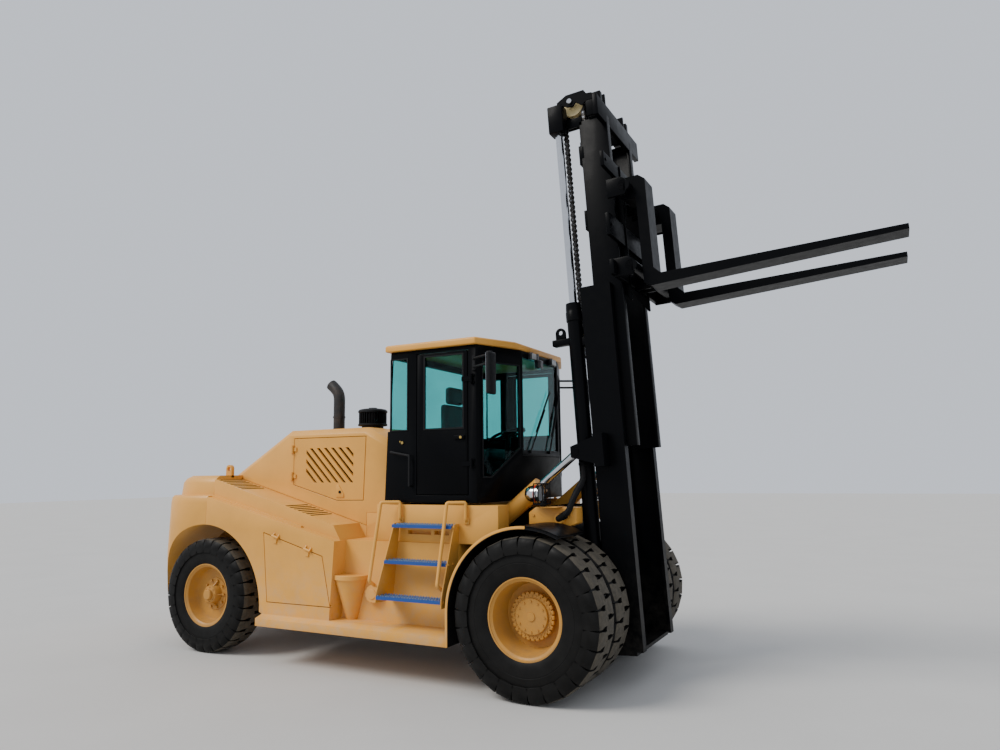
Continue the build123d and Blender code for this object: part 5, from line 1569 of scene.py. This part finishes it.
class FORKLIFT_OT_drive_rims(bpy.types.Operator):
    """Deep rims of the twin wheels with the toothed hub ring, its bolted cover, and a dark ring of painted shade
    in the recess
    """
    bl_idname = "forklift.drive_rims"
    bl_label = "Drive rims"

    def execute(self, context):
        outer = [(0.150, 0.357), (0.160, 0.355), (0.164, 0.346), (0.163, 0.334), (0.154, 0.330),
            (0.151, 0.322), (0.146, 0.318), (0.143, 0.309), (0.120, 0.302), (-0.030, 0.290),
            (-0.070, 0.270), (-0.076, 0.0), (-0.100, 0.0), (-0.100, 0.278), (-0.120, 0.298),
            (-0.160, 0.330), (-0.162, 0.352), (-0.150, 0.357), (-0.150, 0.324), (0.150, 0.324),
            (0.150, 0.357)]
        inner = [(0.150, 0.357), (0.162, 0.352), (0.162, 0.310), (0.110, 0.294), (-0.100, 0.294),
            (-0.104, 0.200), (-0.122, 0.200), (-0.124, 0.294), (-0.160, 0.320), (-0.162, 0.352),
            (-0.150, 0.357), (-0.150, 0.324), (0.150, 0.324), (0.150, 0.357)]
        hub = [(-0.090, 0.0), (-0.090, 0.182), (-0.026, 0.180), (-0.024, 0.186), (0.002, 0.186),
               (0.004, 0.160),
               (0.004, 0.153), (0.020, 0.153), (0.026, 0.147), (0.028, 0.040), (0.036, 0.036), (0.037, 0.0)]
        place = wheel_spot("drive_rims_right", OUTER_RIM_Y)
        disc = turned("drive_hub", hub, place, OUTWARD, 96)
        tooth = cube("tooth", place + Vector((0.190, 0.010, 0)), (0.034, 0.026, 0.037))
        parts = [turned("drive_rims", outer, place, OUTWARD, 96),
            turned("inner_rim", inner, wheel_spot("drive_rims_right", INNER_RIM_Y), OUTWARD, 96),
            turned("barrel", [(-0.334, 0.122), (-0.334, 0.204), (-0.100, 0.204), (-0.100, 0.122),
            (-0.334, 0.122)], place, OUTWARD, 48), disc, ring_of(soften(tooth, 0.010, 3), 28, place),
            bolt_ring(place, -0.002, -0.010, 28, 0.172, 0.0075),
            bolt_ring(place, -0.026, -0.036, 12, 0.126, 0.0085)]
        for part in parts:
            coat(part, "rim_amber")
        # A thin dark brown ring laid in the recess: painted shade that deepens the recess's shadow.
        shadow = turned("recess", [(-0.0755, 0.183), (-0.0755, 0.262), (-0.0745, 0.262), (-0.0745, 0.183),
            (-0.0755, 0.183)], place, OUTWARD, 64)
        coat(shadow, "rim_recess_painted_shade")
        finish_wheel(joined("drive_rims_dressed_right", parts + [shadow]), "drive_rims_", "drive_wheels_")
        return {"FINISHED"}


class FORKLIFT_OT_steer_rims(bpy.types.Operator):
    """Rims of the steered wheels with a bolted disc and a stepped hub cap"""
    bl_idname = "forklift.steer_rims"
    bl_label = "Steered rims"

    def execute(self, context):
        section = [(0.0625, 0.0), (0.0625, 0.062), (-0.085, 0.062), (-0.085, 0.088), (-0.016, 0.092),
            (-0.018, 0.278), (-0.100, 0.298), (-0.139, 0.325), (-0.141, 0.342), (-0.129, 0.345),
            (-0.129, 0.314), (0.129, 0.314), (0.129, 0.345), (0.138, 0.343), (0.142, 0.334), (0.140, 0.324),
            (0.132, 0.319), (0.129, 0.311), (0.124, 0.306), (0.118, 0.299), (0.030, 0.290), (0.004, 0.272),
            (0.0, 0.250), (0.0, 0.176), (0.008, 0.172), (0.012, 0.108), (0.078, 0.094), (0.086, 0.088),
            (0.088, 0.064), (0.092, 0.058), (0.118, 0.056), (0.127, 0.048), (0.129, 0.0)]
        place = wheel_spot("steer_rim_right", STEER_RIM_Y)
        parts = [turned("steer_rim", section, place, OUTWARD, 96),
                 bolt_ring(place, -0.008, -0.030, 10, 0.146, 0.014),
                 bolt_ring(place, -0.086, -0.094, 8, 0.076, 0.007)]
        gusset = plate("gusset", [place + Vector(step)
            for step in ((0.100, -0.008, -0.006), (0.165, -0.008, -0.006), (0.094, -0.066, -0.006))],
            (0, 0, 0.012))
        parts.append(ring_of(gusset, 5, place))
        for part in parts:
            coat(part, "rim_amber")
        finish_wheel(joined("steer_rim_dressed_right", parts), "steer_rim_", "steer_wheel_")
        return {"FINISHED"}


class FORKLIFT_OT_carriage(bpy.types.Operator):
    """Carriage: cheeks with rollers, cross plates, two shafts and the hangers that hold them"""
    bl_idname = "forklift.carriage"
    bl_label = "Carriage"

    def execute(self, context):
        parts = []
        for low, high in ((2960, 3100), (3335, 3550), (4010, 4158)):
            parts.append(soften(block("carriage_dressed", 420, 460, -740, 740, low, high, on_mast), 0.006,
                2))
            for y in (-690, 690):
                parts.append(bar("bolt", on_mast(460, y, (low + high) / 2),
                    on_mast(472, y, (low + high) / 2), 0.016, 6))
        cheek = [(175, 3230), (175, 3940), (330, 3980), (400, 4158), (475, 4158), (475, 2800), (455, 2800)]
        for turn in (-1, 1):
            parts.append(soften(panel("cheek", cheek, turn * 305, turn * 285, on_mast), 0.004, 1))
            for up in ROLLER_LEVELS:
                parts.append(crossbar("roller", 270, turn * 304, turn * 372, up, 0.110, 40, on_mast))
                parts.append(crossbar("roller_pin", 270, turn * 270, turn * 300, up, 0.035, 24, on_mast))
            y0, y1 = sorted((turn * 285, turn * 364))
            parts.append(beam(140, 230, y0, y1, 4048, 4070))
        for up in (SHAFT_UP, 3030):
            parts.append(crossbar("shaft", SHAFT_OUT, -SHAFT_HALF + 30, SHAFT_HALF - 30, up, SHAFT_RADIUS,
                32, on_mast))
            for y in (-SHAFT_HALF + 30, -90, 60, SHAFT_HALF - 60):
                lug = [(435, up - 90), (SHAFT_OUT, up - 90), (SHAFT_OUT + 20, up - 60),
                    (SHAFT_OUT + 20, up + 60), (SHAFT_OUT - 20, up + 90), (435, up + 90)]
                parts.append(soften(panel("hanger", lug, y, y + 30, on_mast), 0.005, 2))
        fit(joined("carriage_dressed", parts), "paint_black", ["carriage"], body="carriage")
        return {"FINISHED"}


class FORKLIFT_OT_stage(bpy.types.Operator):
    """Pale floor, soft light and the camera"""
    bl_idname = "forklift.stage"
    bl_label = "Studio"

    def execute(self, context):
        deselect()
        bpy.ops.mesh.primitive_plane_add(size=120, location=(0, 0, -0.001))
        floor = settle(active("floor"))
        floor.data.materials.append(mixed("pale_floor", (0.50, 0.49, 0.47), (0.56, 0.55, 0.53),
            ((0.8, 6.0, 0.6),), ((30.0,), (0.3, 0.7, 0.8, 0.95))))

        world = bpy.data.worlds.get("studio") or bpy.data.worlds.new("studio")
        context.scene.world = world
        world.use_nodes = True
        sky = world.node_tree.nodes["Background"]
        sky.inputs["Color"].default_value = (0.80, 0.85, 0.94, 1.0)
        sky.inputs["Strength"].default_value = 0.95

        bpy.ops.object.light_add(type="SUN", rotation=(math.radians(42), math.radians(-14),
            math.radians(-28)))
        sun = active("soft_sun")
        sun.data.energy = 2.6
        sun.data.angle = math.radians(28)
        sun.data.color = (1.0, 0.97, 0.92)

        view = context.scene.forklift_camera
        bpy.ops.object.camera_add()
        camera = active("photo_camera")
        camera.data.sensor_width = 36.0
        camera.data.lens = view.lens
        camera.data.clip_end = 200.0
        camera.matrix_world = (Matrix.Translation(view.place) @ Matrix.Rotation(view.turn, 4,
            "Z") @ Matrix.Rotation(math.pi / 2 + view.rise, 4, "X") @ Matrix.Rotation(-view.lean, 4, "Z"))
        context.scene.camera = camera
        return {"FINISHED"}


class FORKLIFT_PT_panel(bpy.types.Panel):
    """Lists the machine's groups of pieces"""
    bl_idname = "FORKLIFT_PT_panel"
    bl_label = "Forklift"
    bl_space_type = "VIEW_3D"
    bl_region_type = "UI"
    bl_category = "Forklift"

    def draw(self, context):
        column = self.layout.column()
        for settings in (context.scene.forklift_finishes, context.scene.forklift_tyres,
                         context.scene.forklift_camera):
            for key in settings.__annotations__:
                column.prop(settings, key)
        for operator in STEPS:
            column.operator(operator.bl_idname)


STEPS = (FORKLIFT_OT_stage, FORKLIFT_OT_finishes, FORKLIFT_OT_drive_tyres, FORKLIFT_OT_steer_tyres,
    FORKLIFT_OT_tail, FORKLIFT_OT_hood, FORKLIFT_OT_side_bodies, FORKLIFT_OT_platform, FORKLIFT_OT_cab,
    FORKLIFT_OT_cab_doors, FORKLIFT_OT_cab_fittings, FORKLIFT_OT_seat, FORKLIFT_OT_inner_mast,
    FORKLIFT_OT_chain_wheels, FORKLIFT_OT_chains, FORKLIFT_OT_lift_cylinders, FORKLIFT_OT_ladder,
    FORKLIFT_OT_mudguards, FORKLIFT_OT_headlamps, FORKLIFT_OT_stack, FORKLIFT_OT_hose,
    FORKLIFT_OT_drive_rims, FORKLIFT_OT_steer_rims, FORKLIFT_OT_carriage,)
CLASSES = (ForkliftFinishes, ForkliftTyres, ForkliftCamera, *STEPS, FORKLIFT_PT_panel)


def register():
    for kind in CLASSES:
        bpy.utils.register_class(kind)
    bpy.types.Scene.forklift_finishes = bpy.props.PointerProperty(type=ForkliftFinishes)
    bpy.types.Scene.forklift_tyres = bpy.props.PointerProperty(type=ForkliftTyres)
    bpy.types.Scene.forklift_camera = bpy.props.PointerProperty(type=ForkliftCamera)


def unregister():
    del bpy.types.Scene.forklift_camera
    del bpy.types.Scene.forklift_tyres
    del bpy.types.Scene.forklift_finishes
    for kind in reversed(CLASSES):
        bpy.utils.unregister_class(kind)


def main():
    register()
    for operator in STEPS:
        group, name = operator.bl_idname.split(".")
        getattr(getattr(bpy.ops, group), name)()


if __name__ == "__main__":
    main()
